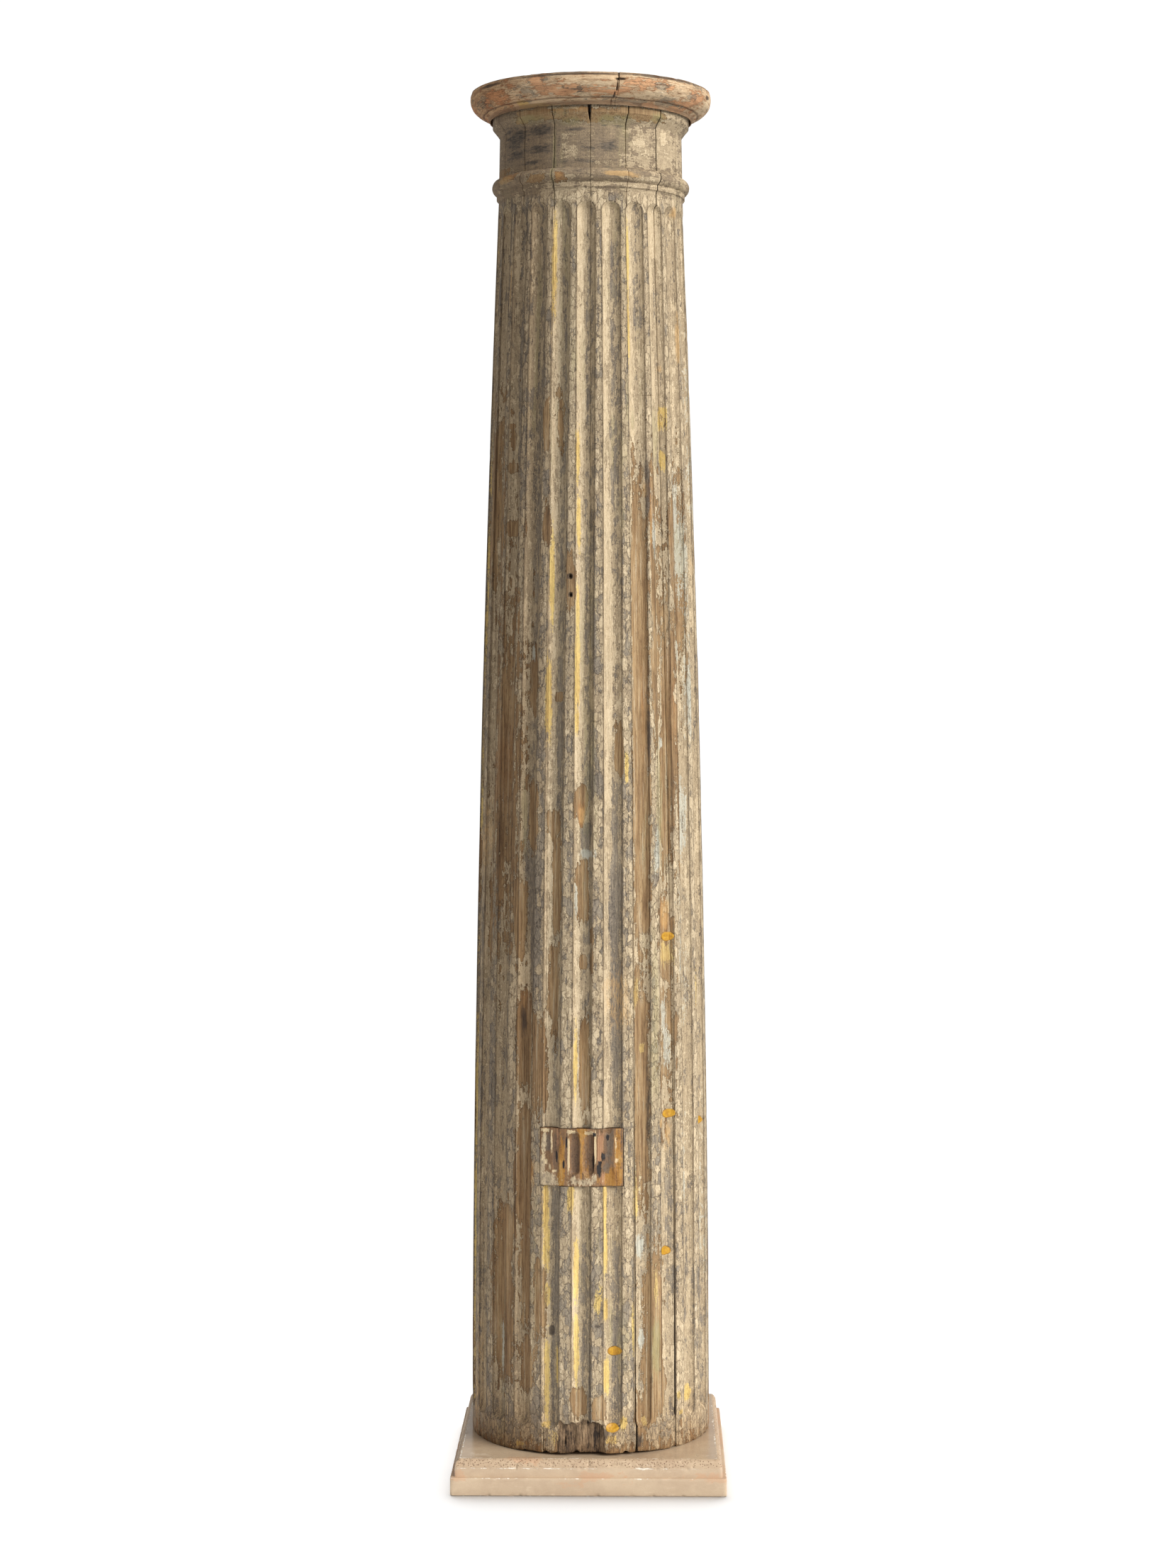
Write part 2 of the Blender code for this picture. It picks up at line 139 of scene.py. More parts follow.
# Filler in the flutes: azimuth and height above the foot
PLUG_WIDTH = 25.0 * MM
PLUG_HEIGHT = 15.0 * MM
PLUG_SINK = 5.0 * MM
PLUG_FACE_DEPTH = 7.5 * MM
PLUG_BACK_DEPTH = 15.0 * MM
PLUG_BACK_SHARE = 0.93
PLUG_PLACES = [
    (44.0, 861.0 * MM), (69.6, 736.5 * MM), (43.5, 562.8 * MM), (72.6, 538.5 * MM),
    (41.1, 332.5 * MM), (12.7, 173.7 * MM), (11.3, 46.3 * MM),
]

# Broken and rotted wood at the front of the foot
BREAK_AZIMUTH = -3.6
BREAK_WIDTH = 84.0 * MM
BREAK_HEIGHT = 57.0 * MM
BREAK_DEPTH = 9.0 * MM
FOOT_LIFT = 4.6 * MM

# Capital ring
RING_COUNT = 6
RING_STEPS = 84
RING_STEPS_FRONT = 200
RING_TURN = 14.2
RING_TOP = 2308.1 * MM
RING_BORE_RADIUS = 148.0 * MM
RING_ARRIS_RADIUS = 206.8 * MM
RING_BULGE_RADIUS = 208.6 * MM
RING_BULGE_DROP = 11.8 * MM
RING_RIDGE_RADIUS = 184.7 * MM
RING_RIDGE_DROP = 38.8 * MM
RING_REACH = 34.0 * MM
RING_RIDGE_EDGE = 1.6 * MM
RING_LIP_RADIUS = 175.4 * MM
RING_LIP_DROP = 48.8 * MM
RING_REBATE_RADIUS = 173.9 * MM

# Plinth
PLINTH_HALF = 229.7 * MM
LOWER_TIER = 29.7 * MM
PLINTH_TOP = 58.5 * MM
UPPER_TIER_STEP = 7.0 * MM
OVOLO_REACH = 9.4 * MM
OVOLO_HEIGHT = 14.5 * MM

# Places read off the photograph in its pixels: x, y, half width, half height, strength
BARE_WOOD = [
    (905, 1010, 12, 370, 1.3), (907, 1540, 11, 170, 0.9), (924, 860, 7, 220, 0.7),
    (944, 1010, 6, 200, 0.6), (943, 1330, 10, 60, 0.8), (719, 601, 4, 4, 1.2),
    (721, 617, 3, 15, 0.8), (720, 660, 6, 9, 1.3), (720, 746, 8, 12, 1.3), (771, 600, 5, 40, 1.2),
    (771, 740, 6, 30, 0.8), (805, 822, 7, 42, 1.1), (751, 962, 8, 50, 1.1), (787, 983, 6, 7, 1.2),
    (820, 1137, 10, 29, 1.4), (874, 1058, 6, 38, 1.2), (821, 1262, 10, 46, 1.3),
    (750, 1155, 9, 52, 1.2), (779, 1163, 9, 22, 1.2), (784, 1245, 7, 75, 0.9),
    (731, 1290, 8, 60, 1.0), (695, 1150, 6, 60, 0.8), (690, 1300, 6, 60, 0.8),
    (822, 1357, 6, 12, 1.2), (824, 1510, 8, 72, 1.3), (738, 1465, 11, 76, 1.2),
    (779, 1395, 9, 70, 0.9), (758, 1500, 12, 60, 0.7), (737, 1650, 13, 90, 1.1),
    (713, 1740, 13, 50, 0.9), (707, 1840, 17, 110, 1.2), (738, 1790, 10, 90, 0.8),
    (740, 1925, 12, 40, 0.8), (760, 1840, 8, 60, 0.6), (815, 1979, 12, 22, 1.4),
    (846, 1987, 11, 18, 1.4), (933, 1962, 14, 34, 1.2), (918, 1985, 10, 30, 0.9),
    (941, 1120, 6, 120, 0.7), (962, 800, 6, 160, 0.5), (952, 780, 8, 90, 0.7),
    (835, 1360, 3, 60, 0.4), (788, 590, 6, 46, 0.5), (948, 1000, 20, 330, 0.35),
    (944, 1450, 22, 200, 0.25), (700, 254, 14, 8, 0.6), (726, 250, 14, 6, 0.5),
    (925, 1880, 15, 120, 0.7), (905, 1995, 8, 30, 0.6), (760, 161, 40, 9, 0.7),
    (830, 160, 40, 9, 0.7), (900, 160, 40, 9, 0.6), (762, 251, 20, 8, 0.4),
    (712, 1080, 30, 330, 0.4), (700, 700, 18, 200, 0.35), (793, 251, 14, 9, 0.4),
]
CREAM_COAT = [
    (903, 632, 9, 16, 1.3), (901, 500, 9, 34, 1.0), (925, 532, 6, 26, 1.1), (903, 580, 7, 40, 0.9),
    (739, 1370, 10, 48, 0.9), (721, 1467, 5, 75, 0.9), (722, 880, 4, 90, 0.8),
    (722, 700, 4, 38, 0.9), (866, 900, 10, 180, 0.45), (840, 1190, 7, 50, 0.8),
    (742, 1560, 12, 25, 0.9), (800, 1560, 8, 22, 1.0), (846, 1570, 8, 22, 1.0),
    (825, 1570, 16, 14, 0.9), (830, 1700, 14, 40, 0.7), (878, 1700, 12, 60, 0.5),
    (770, 1905, 5, 100, 0.7), (811, 1850, 4, 100, 0.9), (930, 1350, 6, 60, 0.7),
    (860, 305, 12, 30, 0.5), (825, 305, 12, 30, 0.4), (925, 330, 6, 60, 0.9),
    (735, 1980, 14, 30, 0.6), (957, 1900, 10, 60, 0.5), (749, 1890, 6, 30, 0.8),
    (860, 259, 90, 2, 0.9), (903, 205, 14, 26, 0.8), (937, 205, 10, 28, 0.8),
    (880, 217, 14, 7, 0.4), (760, 250, 30, 5, 0.3), (905, 254, 30, 4, 0.4),
    (830, 215, 20, 14, 0.2), (830, 270, 130, 13, 0.4), (804, 214, 15, 15, 0.85),
    (868, 228, 30, 6, 0.5), (800, 191, 14, 6, 0.4), (762, 256, 20, 8, 0.3),
]
YELLOW_COAT = [
    (781, 380, 3, 80, 1.1), (887, 362, 3, 46, 1.1), (888, 460, 3, 60, 1.0), (815, 640, 3, 44, 1.1),
    (816, 740, 3, 46, 1.1), (777, 815, 3, 75, 1.1), (815, 861, 3, 40, 1.1), (937, 590, 4, 20, 1.2),
    (938, 648, 3, 16, 1.2), (773, 985, 4, 66, 1.2), (814, 950, 4, 66, 1.2),
    (814, 1016, 3, 22, 1.1), (884, 1084, 3, 22, 1.3), (811, 1500, 3, 60, 1.1),
    (804, 1688, 5, 26, 1.3), (854, 1700, 4, 60, 1.3), (768, 1705, 4, 44, 1.2),
    (769, 1762, 4, 40, 1.4), (769, 1827, 4, 18, 1.4), (769, 1945, 4, 62, 0.9),
    (812, 1793, 4, 44, 1.3), (812, 1905, 4, 50, 1.2), (785, 1926, 2, 30, 1.3),
    (855, 1762, 4, 40, 1.3), (855, 1848, 4, 18, 1.5), (856, 1943, 5, 26, 1.5),
    (844, 1838, 6, 20, 0.8), (770, 2010, 6, 5, 1.2), (733, 2037, 6, 4, 1.2),
    (863, 2032, 8, 8, 1.3), (880, 2008, 5, 9, 1.2), (911, 2006, 4, 8, 1.2), (958, 1968, 3, 6, 1.2),
    (961, 1992, 3, 4, 1.2), (975, 1965, 4, 12, 1.0), (984, 1390, 3, 30, 1.0),
    (899, 1400, 5, 24, 1.1), (909, 1480, 5, 8, 1.1), (899, 1690, 5, 30, 0.9),
    (943, 1345, 8, 20, 0.8), (790, 2030, 14, 12, 0.5), (925, 1815, 4, 30, 0.7),
    (893, 1880, 2, 40, 0.6),
]
SLATE_COAT = [
    (866, 1300, 9, 60, 0.5), (841, 1100, 8, 20, 0.7), (826, 1180, 8, 16, 0.8),
    (757, 1480, 5, 12, 1.1), (752, 1310, 8, 80, 0.5), (742, 1220, 7, 70, 0.5),
    (700, 1280, 6, 60, 0.4), (868, 1420, 9, 100, 0.5), (748, 229, 20, 3, 0.9),
    (812, 182, 22, 3, 1.3), (853, 176, 6, 2, 1.2), (873, 178, 12, 2, 1.1), (760, 252, 14, 5, 0.6),
    # The long thin mark above the astragal darkens the crease where the neck meets it, as painted
    # shade; the weak marks at x 787 to 838 darken shaded right walls of flutes, painted shade over
    # slate.
    (816, 241, 16, 4, 0.5), (820, 236, 80, 2, 0.4), (787, 1790, 8, 120, 0.1),
    (790, 1020, 7, 100, 0.1), (838, 905, 6, 60, 0.3), (838, 1050, 6, 40, 0.3),
    (857, 206, 17, 10, 1.2), (727, 196, 19, 17, 1.1), (763, 186, 19, 11, 1.0),
    (763, 211, 21, 8, 1.0), (728, 219, 17, 9, 0.9), (800, 228, 60, 8, 0.3),
    (830, 208, 50, 24, 0.2), (788, 200, 5, 24, 0.4),
]
BLUE_WHITE_COAT = [
    (925, 764, 6, 40, 1.2), (953, 690, 6, 30, 1.0), (958, 720, 4, 60, 0.8), (959, 916, 6, 20, 1.2),
    (929, 1203, 7, 42, 1.0), (937, 1047, 4, 14, 1.1), (966, 1150, 7, 66, 1.0),
    (972, 980, 5, 70, 0.7), (940, 1432, 5, 30, 1.1), (945, 1480, 5, 40, 0.8),
    (812, 1270, 3, 30, 1.1), (830, 1205, 18, 8, 0.8), (963, 1330, 8, 120, 0.5),
    (968, 1650, 10, 160, 0.4), (905, 1760, 8, 20, 1.0), (908, 1890, 6, 20, 0.9),
    (749, 920, 4, 20, 1.0), (704, 1900, 3, 60, 0.9),
]
GREEN_CAST = [
    (928, 620, 8, 60, 0.8), (932, 1130, 8, 110, 0.9), (924, 1450, 8, 160, 0.8),
    (926, 1900, 8, 50, 1.0), (755, 450, 5, 130, 0.7), (895, 590, 4, 20, 0.8),
    (885, 560, 5, 60, 0.5), (737, 1150, 3, 60, 0.8), (748, 600, 8, 120, 0.4),
    (745, 168, 30, 8, 0.8), (802, 170, 20, 8, 0.8), (870, 168, 34, 9, 1.1),
    (930, 166, 16, 10, 0.7), (782, 225, 4, 60, 1.0),
]
OCHRE_STAIN = [
    (942, 1290, 8, 30, 1.2), (946, 1600, 8, 34, 0.7), (912, 690, 6, 20, 0.9),
    (918, 740, 3, 70, 0.7), (721, 400, 2, 50, 0.9), (957, 480, 2, 60, 0.9), (935, 520, 6, 10, 0.6),
    (751, 1660, 6, 40, 0.7), (820, 1150, 7, 22, 0.9), (951, 300, 5, 16, 0.8),
    (800, 153, 60, 4, 0.6), (935, 1585, 7, 12, 1.0), (910, 1000, 7, 170, 0.3),
    (781, 250, 5, 60, 0.3), (872, 246, 36, 5, 1.4), (890, 250, 16, 5, 0.8), (721, 255, 20, 9, 0.8),
    (790, 249, 12, 9, 0.6),
]
DARK_STAIN = [
    (914, 690, 4, 60, 1.0), (916, 1040, 3, 60, 0.9), (776, 1878, 6, 9, 1.6),
    (797, 2031, 4, 12, 1.6), (830, 2046, 9, 6, 1.6), (901, 2035, 6, 14, 1.3),
    (849, 2022, 14, 12, 1.1), (820, 2014, 30, 7, 0.9), (804, 813, 6, 5, 1.2),
    (805, 839, 5, 5, 1.2), (916, 1560, 3, 100, 0.7), (735, 1440, 5, 30, 0.8),
    (737, 480, 4, 20, 0.5), (842, 1872, 6, 5, 0.8), (842, 1970, 4, 4, 0.8),
    (782, 225, 3, 60, 0.45), (782, 262, 4, 16, 0.5),
]

# Holes and cracks: x, y, half width and half height in the photograph's pixels
NAIL_HOLES = [(804.5, 813.0, 2.0, 3.0), (805.0, 839.0, 1.8, 2.6)]
NAIL_HOLE_DEPTH = 9.0 * MM
KNOTS = [(776.0, 1878.0, 3.0, 3.4)]
KNOT_DEPTH = 1.6 * MM
CROSS_CRACK_PLACE = (917.0, 558.0)
CROSS_CRACK_HALF = 13.0
CROSS_CRACK_DEPTH = 1.6 * MM
FOOT_SPLIT_DEPTH = 7.0 * MM
FOOT_SPLITS = [
    (797.0, 2031.0, 1.6, 12.0), (830.0, 2046.0, 2.2, 7.0), (838.0, 2050.0, 1.6, 5.0),
    (821.0, 2048.0, 1.4, 5.0),
]

# Repair: two hollows, grooves (x, half width, depth) and strips of stain and paint
PATCH_HOLLOWS = [(810.0, 1627.5, 7.5, 30.0), (830.0, 1627.5, 8.0, 31.0)]
PATCH_HOLLOW_DEPTH = 6.0 * MM
PATCH_GROOVES = [
    (783.0, 5.0, 2.2 * MM), (858.0, 6.5, 2.6 * MM), (772.0, 5.0, 1.4 * MM), (848.0, 3.5, 1.2 * MM),
]
PATCH_GROOVE_Y = 1630.0
PATCH_AMBER = [
    (792, 1640, 5, 36, 1.3), (790, 1665, 6, 10, 1.4), (820, 1599, 9, 8, 1.2),
    (820, 1610, 4.5, 8, 1.1), (819.5, 1640, 1.8, 34, 1.6), (866, 1660, 13, 14, 1.5),
    (829, 1635, 6, 28, 0.7), (872, 1620, 5, 32, 1.1), (850, 1664, 12, 8, 0.7),
]
PATCH_PLUM = [
    (811, 1628, 7, 32, 1.5), (834, 1630, 5, 32, 1.3), (828, 1630, 5, 30, 0.5),
    (772, 1612, 5, 14, 1.1), (783, 1628, 4, 28, 1.0), (858, 1622, 6, 24, 1.0),
    (799, 1620, 1.8, 22, 1.2),
]
PATCH_PALE = [
    (801.8, 1632, 1.5, 30, 1.3), (839.8, 1620, 1.5, 26, 1.2), (806, 1597, 6, 2.5, 1.2),
    (831, 1599, 6, 3, 1.0), (870, 1637, 3, 3, 0.5), (777.5, 1610, 1.2, 18, 0.6),
    (869, 1610, 2, 14, 0.3), (766, 1629, 1.5, 7, 0.7), (770, 1639, 1.8, 6, 0.7),
    (775, 1647, 2, 5, 0.7), (781, 1652, 3, 2, 0.8), (769, 1594, 6, 3, 1.0),
]
PATCH_SALMON = [
    (847, 1616, 4.5, 20, 1.4), (787, 1606, 2, 18, 0.9), (846, 1634, 3, 8, 1.0),
    (850, 1663, 4, 10, 0.9),
]
PATCH_SOOT = [
    (847, 1642, 3, 5, 1.0), (795, 1643, 1.5, 7, 1.5), (858, 1605, 2.5, 4, 1.2),
    (799, 1612, 1.2, 8, 1.2), (785, 1632, 1.5, 9, 1.2), (838.5, 1601, 2, 3, 1.0),
    (837, 1640, 1.5, 12, 0.9), (845, 1651, 4, 8, 0.9), (851, 1632, 2.6, 6, 1.0),
    (846, 1658, 5, 6, 0.4),
]
PATCH_CREAM = [
    (768, 1664, 17, 12, 1.6), (764, 1642, 5, 14, 1.3), (767, 1612, 3, 16, 1.0),
    (822, 1668, 24, 7, 0.45), (809, 1666, 6, 6, 0.6), (839, 1664, 3, 8, 0.6),
]
PATCH_GREY = [(772, 1612, 5, 16, 0.8), (855, 1648, 6, 7, 0.9), (861, 1618, 5, 24, 0.7)]

# Ring: coats and stains, the crack down its front and the slot in its edge
RING_BARE = [
    (795, 125, 34, 7, 1.2), (755, 114, 18, 6, 0.8), (920, 118, 30, 6, 0.7), (930, 146, 18, 5, 0.9),
    (975, 150, 12, 8, 0.8), (985, 138, 8, 8, 0.7), (694, 136, 20, 10, 0.5), (870, 126, 60, 8, 0.3),
    (770, 122, 40, 10, 0.4),
]
RING_SLATE = [
    (937, 122, 14, 5, 0.8), (980, 136, 8, 6, 1.0), (950, 140, 16, 5, 0.8), (900, 138, 30, 3, 0.6),
    (690, 155, 12, 5, 0.8), (850, 133, 24, 3, 0.5), (675, 146, 10, 8, 0.9), (726, 124, 7, 4, 0.8),
    (738, 128, 9, 4, 0.8), (731, 135, 8, 4, 0.7), (748, 133, 6, 3, 0.7),
]
RING_OCHRE = [(745, 146, 22, 5, 1.2), (722, 144, 8, 5, 0.9), (770, 146, 18, 3, 0.8)]
RING_CREAM = [
    (828, 131, 26, 4, 0.8), (850, 118, 24, 6, 0.6), (900, 146, 26, 4, 0.9), (925, 134, 30, 4, 0.8),
    (1000, 150, 4, 12, 0.8),
]
RING_DARK = [
    (876, 111, 9, 2.2, 1.6), (998, 138, 3, 3, 1.4), (690, 121, 26, 3, 0.8),
    (800, 104, 120, 2.5, 0.9), (940, 110, 90, 3.0, 0.9),
]
RING_CRACK = [(873.0, 110.0), (872.0, 122.0), (868.5, 134.0), (867.0, 145.0)]
RING_CRACK_DEPTH = 4.0 * MM
RING_SLOT = (876.0, 111.0)
RING_SLOT_HALF = (9.0, 1.4)
RING_SLOT_DEPTH = 3.5 * MM

LATTICE = np.random.RandomState(71).rand(4096) * 2.0 - 1.0


def smooth_noise(points, size, seed, octaves=1):
    """Smooth unevenness from about -1 to 1; size is how wide one swell is along x, y and z."""
    total = np.zeros(len(points))
    weight = 1.0
    spread = np.asarray(points) / np.asarray(size)
    for octave in range(octaves):
        cell = np.floor(spread).astype(np.int64)
        part = spread - cell
        part = part * part * (3.0 - 2.0 * part)
        for corner in range(8):
            step = np.array([corner & 1, (corner >> 1) & 1, corner >> 2])
            spot = cell + step
            index = spot[:, 0] * 73856093 ^ spot[:, 1] * 19349663 ^ spot[:, 2] * 83492791
            index = (index + seed * 1013 + octave * 127) & 4095
            share = np.where(step == 1, part, 1.0 - part).prod(axis=1)
            total += weight * share * LATTICE[index]
        weight *= 0.5
        spread = spread * 2.03 + 17.7
    return total


def unit(value):
    """A value held between 0 and 1."""
    return np.clip(value, 0.0, 1.0)


def blend(value, start, width):
    """0 up to a start, 1 from a width beyond it, and even steps between."""
    return unit((value - start) / width)


def peaks(points, size, seed, octaves, level):
    """How far smooth unevenness rises above a level, 0 where it stays below."""
    return np.maximum(smooth_noise(points, size, seed, octaves) - level, 0.0)


def around(distance, azimuth, height):
    """Points at a distance from the axis, an azimuth and a height, as rows of three."""
    return np.stack([distance * np.sin(azimuth), -distance * np.cos(azimuth), height], axis=1)


def shaft_radius(height):
    """Outer radius of the plain shaft at a height above its foot."""
    share = unit(height / SHAFT_HEIGHT)
    return FOOT_RADIUS - (FOOT_RADIUS - SHAFT_TOP_RADIUS) * share ** SWELL_POWER


def back_distance(height):
    """Distance from the axis to the flat backs of the staves."""
    return BACK_AT_FOOT + (BACK_AT_TOP - BACK_AT_FOOT) * height / STAVE_TOP


def flute_middle(number, height):
    """Azimuth of a flute's middle line in radians."""
    share = 1.0 - unit(height / SHAFT_HEIGHT)
    drift = FLUTE_DRIFT * share * share * (3.0 - 2.0 * share)
    return np.radians(FLUTE_TURN + drift + 360.0 * number / FLUTE_COUNT)


def outer_radius(height):
    """Outer radius of the turned staves at any height, for finding places on them."""
    if height <= SHAFT_HEIGHT:
        return float(shaft_radius(height))
    if height < NECK_TOP:
        return NECK_FOOT_RADIUS
    return BAND_RADIUS


def on_column(x, y, radius=None):
    """Azimuth and height above the foot of a pixel of the photograph, and metres per pixel."""
    turn = math.radians(CAMERA_TURN)
    across = (x - MIDDLE_X) / FOCAL_PIXELS
    rise = (HORIZON_Y - y) / FOCAL_PIXELS
    way = (across * math.cos(turn) - math.sin(turn), across * math.sin(turn) + math.cos(turn))
    reach = radius or FOOT_RADIUS
    for _ in range(5):
        square = way[0] ** 2 + way[1] ** 2
        half = way[0] * CAMERA_PLACE[0] + way[1] * CAMERA_PLACE[1]
        rest = CAMERA_PLACE[0] ** 2 + CAMERA_PLACE[1] ** 2 - reach ** 2
        away = (-half - math.sqrt(max(half * half - square * rest, 0.0))) / square
        spot = (CAMERA_PLACE[0] + way[0] * away, CAMERA_PLACE[1] + way[1] * away)
        height = CAMERA_PLACE[2] + rise * away - FOOT_LEVEL
        if radius is None:
            reach = outer_radius(height)
    return math.atan2(spot[0], -spot[1]), height, away / FOCAL_PIXELS


def marks_field(azimuths, heights, radii, marks, radius=None):
    """The strongest of some marks placed by their pixels at each point, -1 where none is near."""
    field = np.full(len(heights), -1.0)
    for x, y, half_width, half_height, strength in marks:
        azimuth, height, scale = on_column(x, y, radius)
        width = half_width * scale / max(math.cos(azimuth), 0.25)
        tall = half_height * scale
        sideways = np.abs((azimuths - azimuth) * radii) / width
        along = np.abs(heights - height) / tall
        near = strength - np.power(sideways ** 3 + along ** 3, 1.0 / 3.0) * max(strength, 0.6)
        field = np.maximum(field, near)
    return field


def deselect_everything():
    """Leave nothing selected."""
    bpy.ops.object.select_all(action="DESELECT")


def vertex_places(obj):
    """Coordinates of an object's vertices as rows of three."""
    places = np.empty(len(obj.data.vertices) * 3)
    obj.data.vertices.foreach_get("co", places)
    return places.reshape(-1, 3)


def place_vertices(obj, places):
    """Move an object's vertices to new coordinates."""
    obj.data.vertices.foreach_set("co", np.ascontiguousarray(places).reshape(-1))
    obj.data.update()


def add_sheet(name, columns, rows):
    """Add a flat grid and return it with the column and row of every vertex."""
    deselect_everything()
    bpy.ops.mesh.primitive_grid_add(x_subdivisions=columns - 1, y_subdivisions=rows - 1, size=1.0)
    obj = bpy.context.object
    obj.name = name
    obj.data.name = name
    places = vertex_places(obj)
    column = np.rint((places[:, 0] + 0.5) * (columns - 1)).astype(int)
    row = np.rint((places[:, 1] + 0.5) * (rows - 1)).astype(int)
    return obj, column, row


def select_open_edges():
    """Go into edit mode with only the open edges of the mesh selected."""
    bpy.ops.object.mode_set(mode="EDIT")
    bpy.ops.mesh.select_mode(type="EDGE")
    bpy.ops.mesh.select_all(action="DESELECT")
    bpy.ops.mesh.select_non_manifold(
        extend=False, use_wire=False, use_boundary=True, use_multi_face=False,
        use_non_contiguous=False, use_verts=False)


def point_outwards():
    """Turn every face of the mesh outwards and leave edit mode."""
    bpy.ops.mesh.select_all(action="SELECT")
    bpy.ops.mesh.normals_make_consistent(inside=False)
    bpy.ops.object.mode_set(mode="OBJECT")


def extrude_rim(obj):
    """Extrude the open edges of a sheet; return its new vertices and those they came from."""
    before = len(obj.data.vertices)
    select_open_edges()
    bpy.ops.mesh.extrude_edges_move()
    bpy.ops.object.mode_set(mode="OBJECT")
    new = np.arange(before, len(obj.data.vertices))
    ends = np.empty(len(obj.data.edges) * 2, dtype=np.int32)
    obj.data.edges.foreach_get("vertices", ends)
    ends = np.sort(ends.reshape(-1, 2), axis=1)
    ends = ends[(ends[:, 0] < before) & (ends[:, 1] >= before)]
    source = np.zeros(len(new), dtype=int)
    source[ends[:, 1] - before] = ends[:, 0]
    return new, source


def flat_back(places, new, distance, sideways, middle):
    """Put the rim of a back on a plane square to its middle azimuth."""
    places[new, 0] = distance * math.sin(middle) + sideways * math.cos(middle)
    places[new, 1] = -distance * math.cos(middle) + sideways * math.sin(middle)


def close_back(obj, places):
    """Move an extruded sheet's vertices, fill its back and point its faces outwards."""
    place_vertices(obj, places)
    select_open_edges()
    bpy.ops.mesh.edge_face_add()
    point_outwards()


def add_field(obj, name, channels):
    """Store up to four values for each vertex under one name."""
    attribute = obj.data.attributes.new(name, "FLOAT_COLOR", "POINT")
    values = np.zeros((len(obj.data.vertices), 4))
    for index, channel in enumerate(channels):
        values[:, index] = channel
    attribute.data.foreach_set("color", values.reshape(-1))


def settle(obj, nodes, material, angle=38.0):
    """Give a finished piece its shading, material and body, and hide the node that it stands for."""
    deselect_everything()
    obj.select_set(True)
    bpy.context.view_layer.objects.active = obj
    bpy.ops.object.shade_smooth_by_angle(angle=math.radians(angle))
    obj.data.materials.clear()
    obj.data.materials.append(material)
    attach(obj, "root")
    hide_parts(*nodes)
    return obj


class Value:
    """A socket that carries one number over a surface, with ordinary arithmetic."""

    def __init__(self, finish, socket):
        self.finish = finish
        self.socket = socket

    def _maths(self, operation, first, second=None):
        values = {0: first} if second is None else {0: first, 1: second}
        node = self.finish.node("ShaderNodeMath", {"operation": operation}, values)
        return Value(self.finish, node.outputs[0])

    def __add__(self, other):
        return self._maths("ADD", self, other)

    def __radd__(self, other):
        return self._maths("ADD", other, self)

    def __sub__(self, other):
        return self._maths("SUBTRACT", self, other)

    def __rsub__(self, other):
        return self._maths("SUBTRACT", other, self)

    def __mul__(self, other):
        return self._maths("MULTIPLY", self, other)

    def __rmul__(self, other):
        return self._maths("MULTIPLY", other, self)

    def __abs__(self):
        return self._maths("ABSOLUTE", self)

    def largest(self, other):
        """The larger of this value and another."""
        return self._maths("MAXIMUM", self, other)


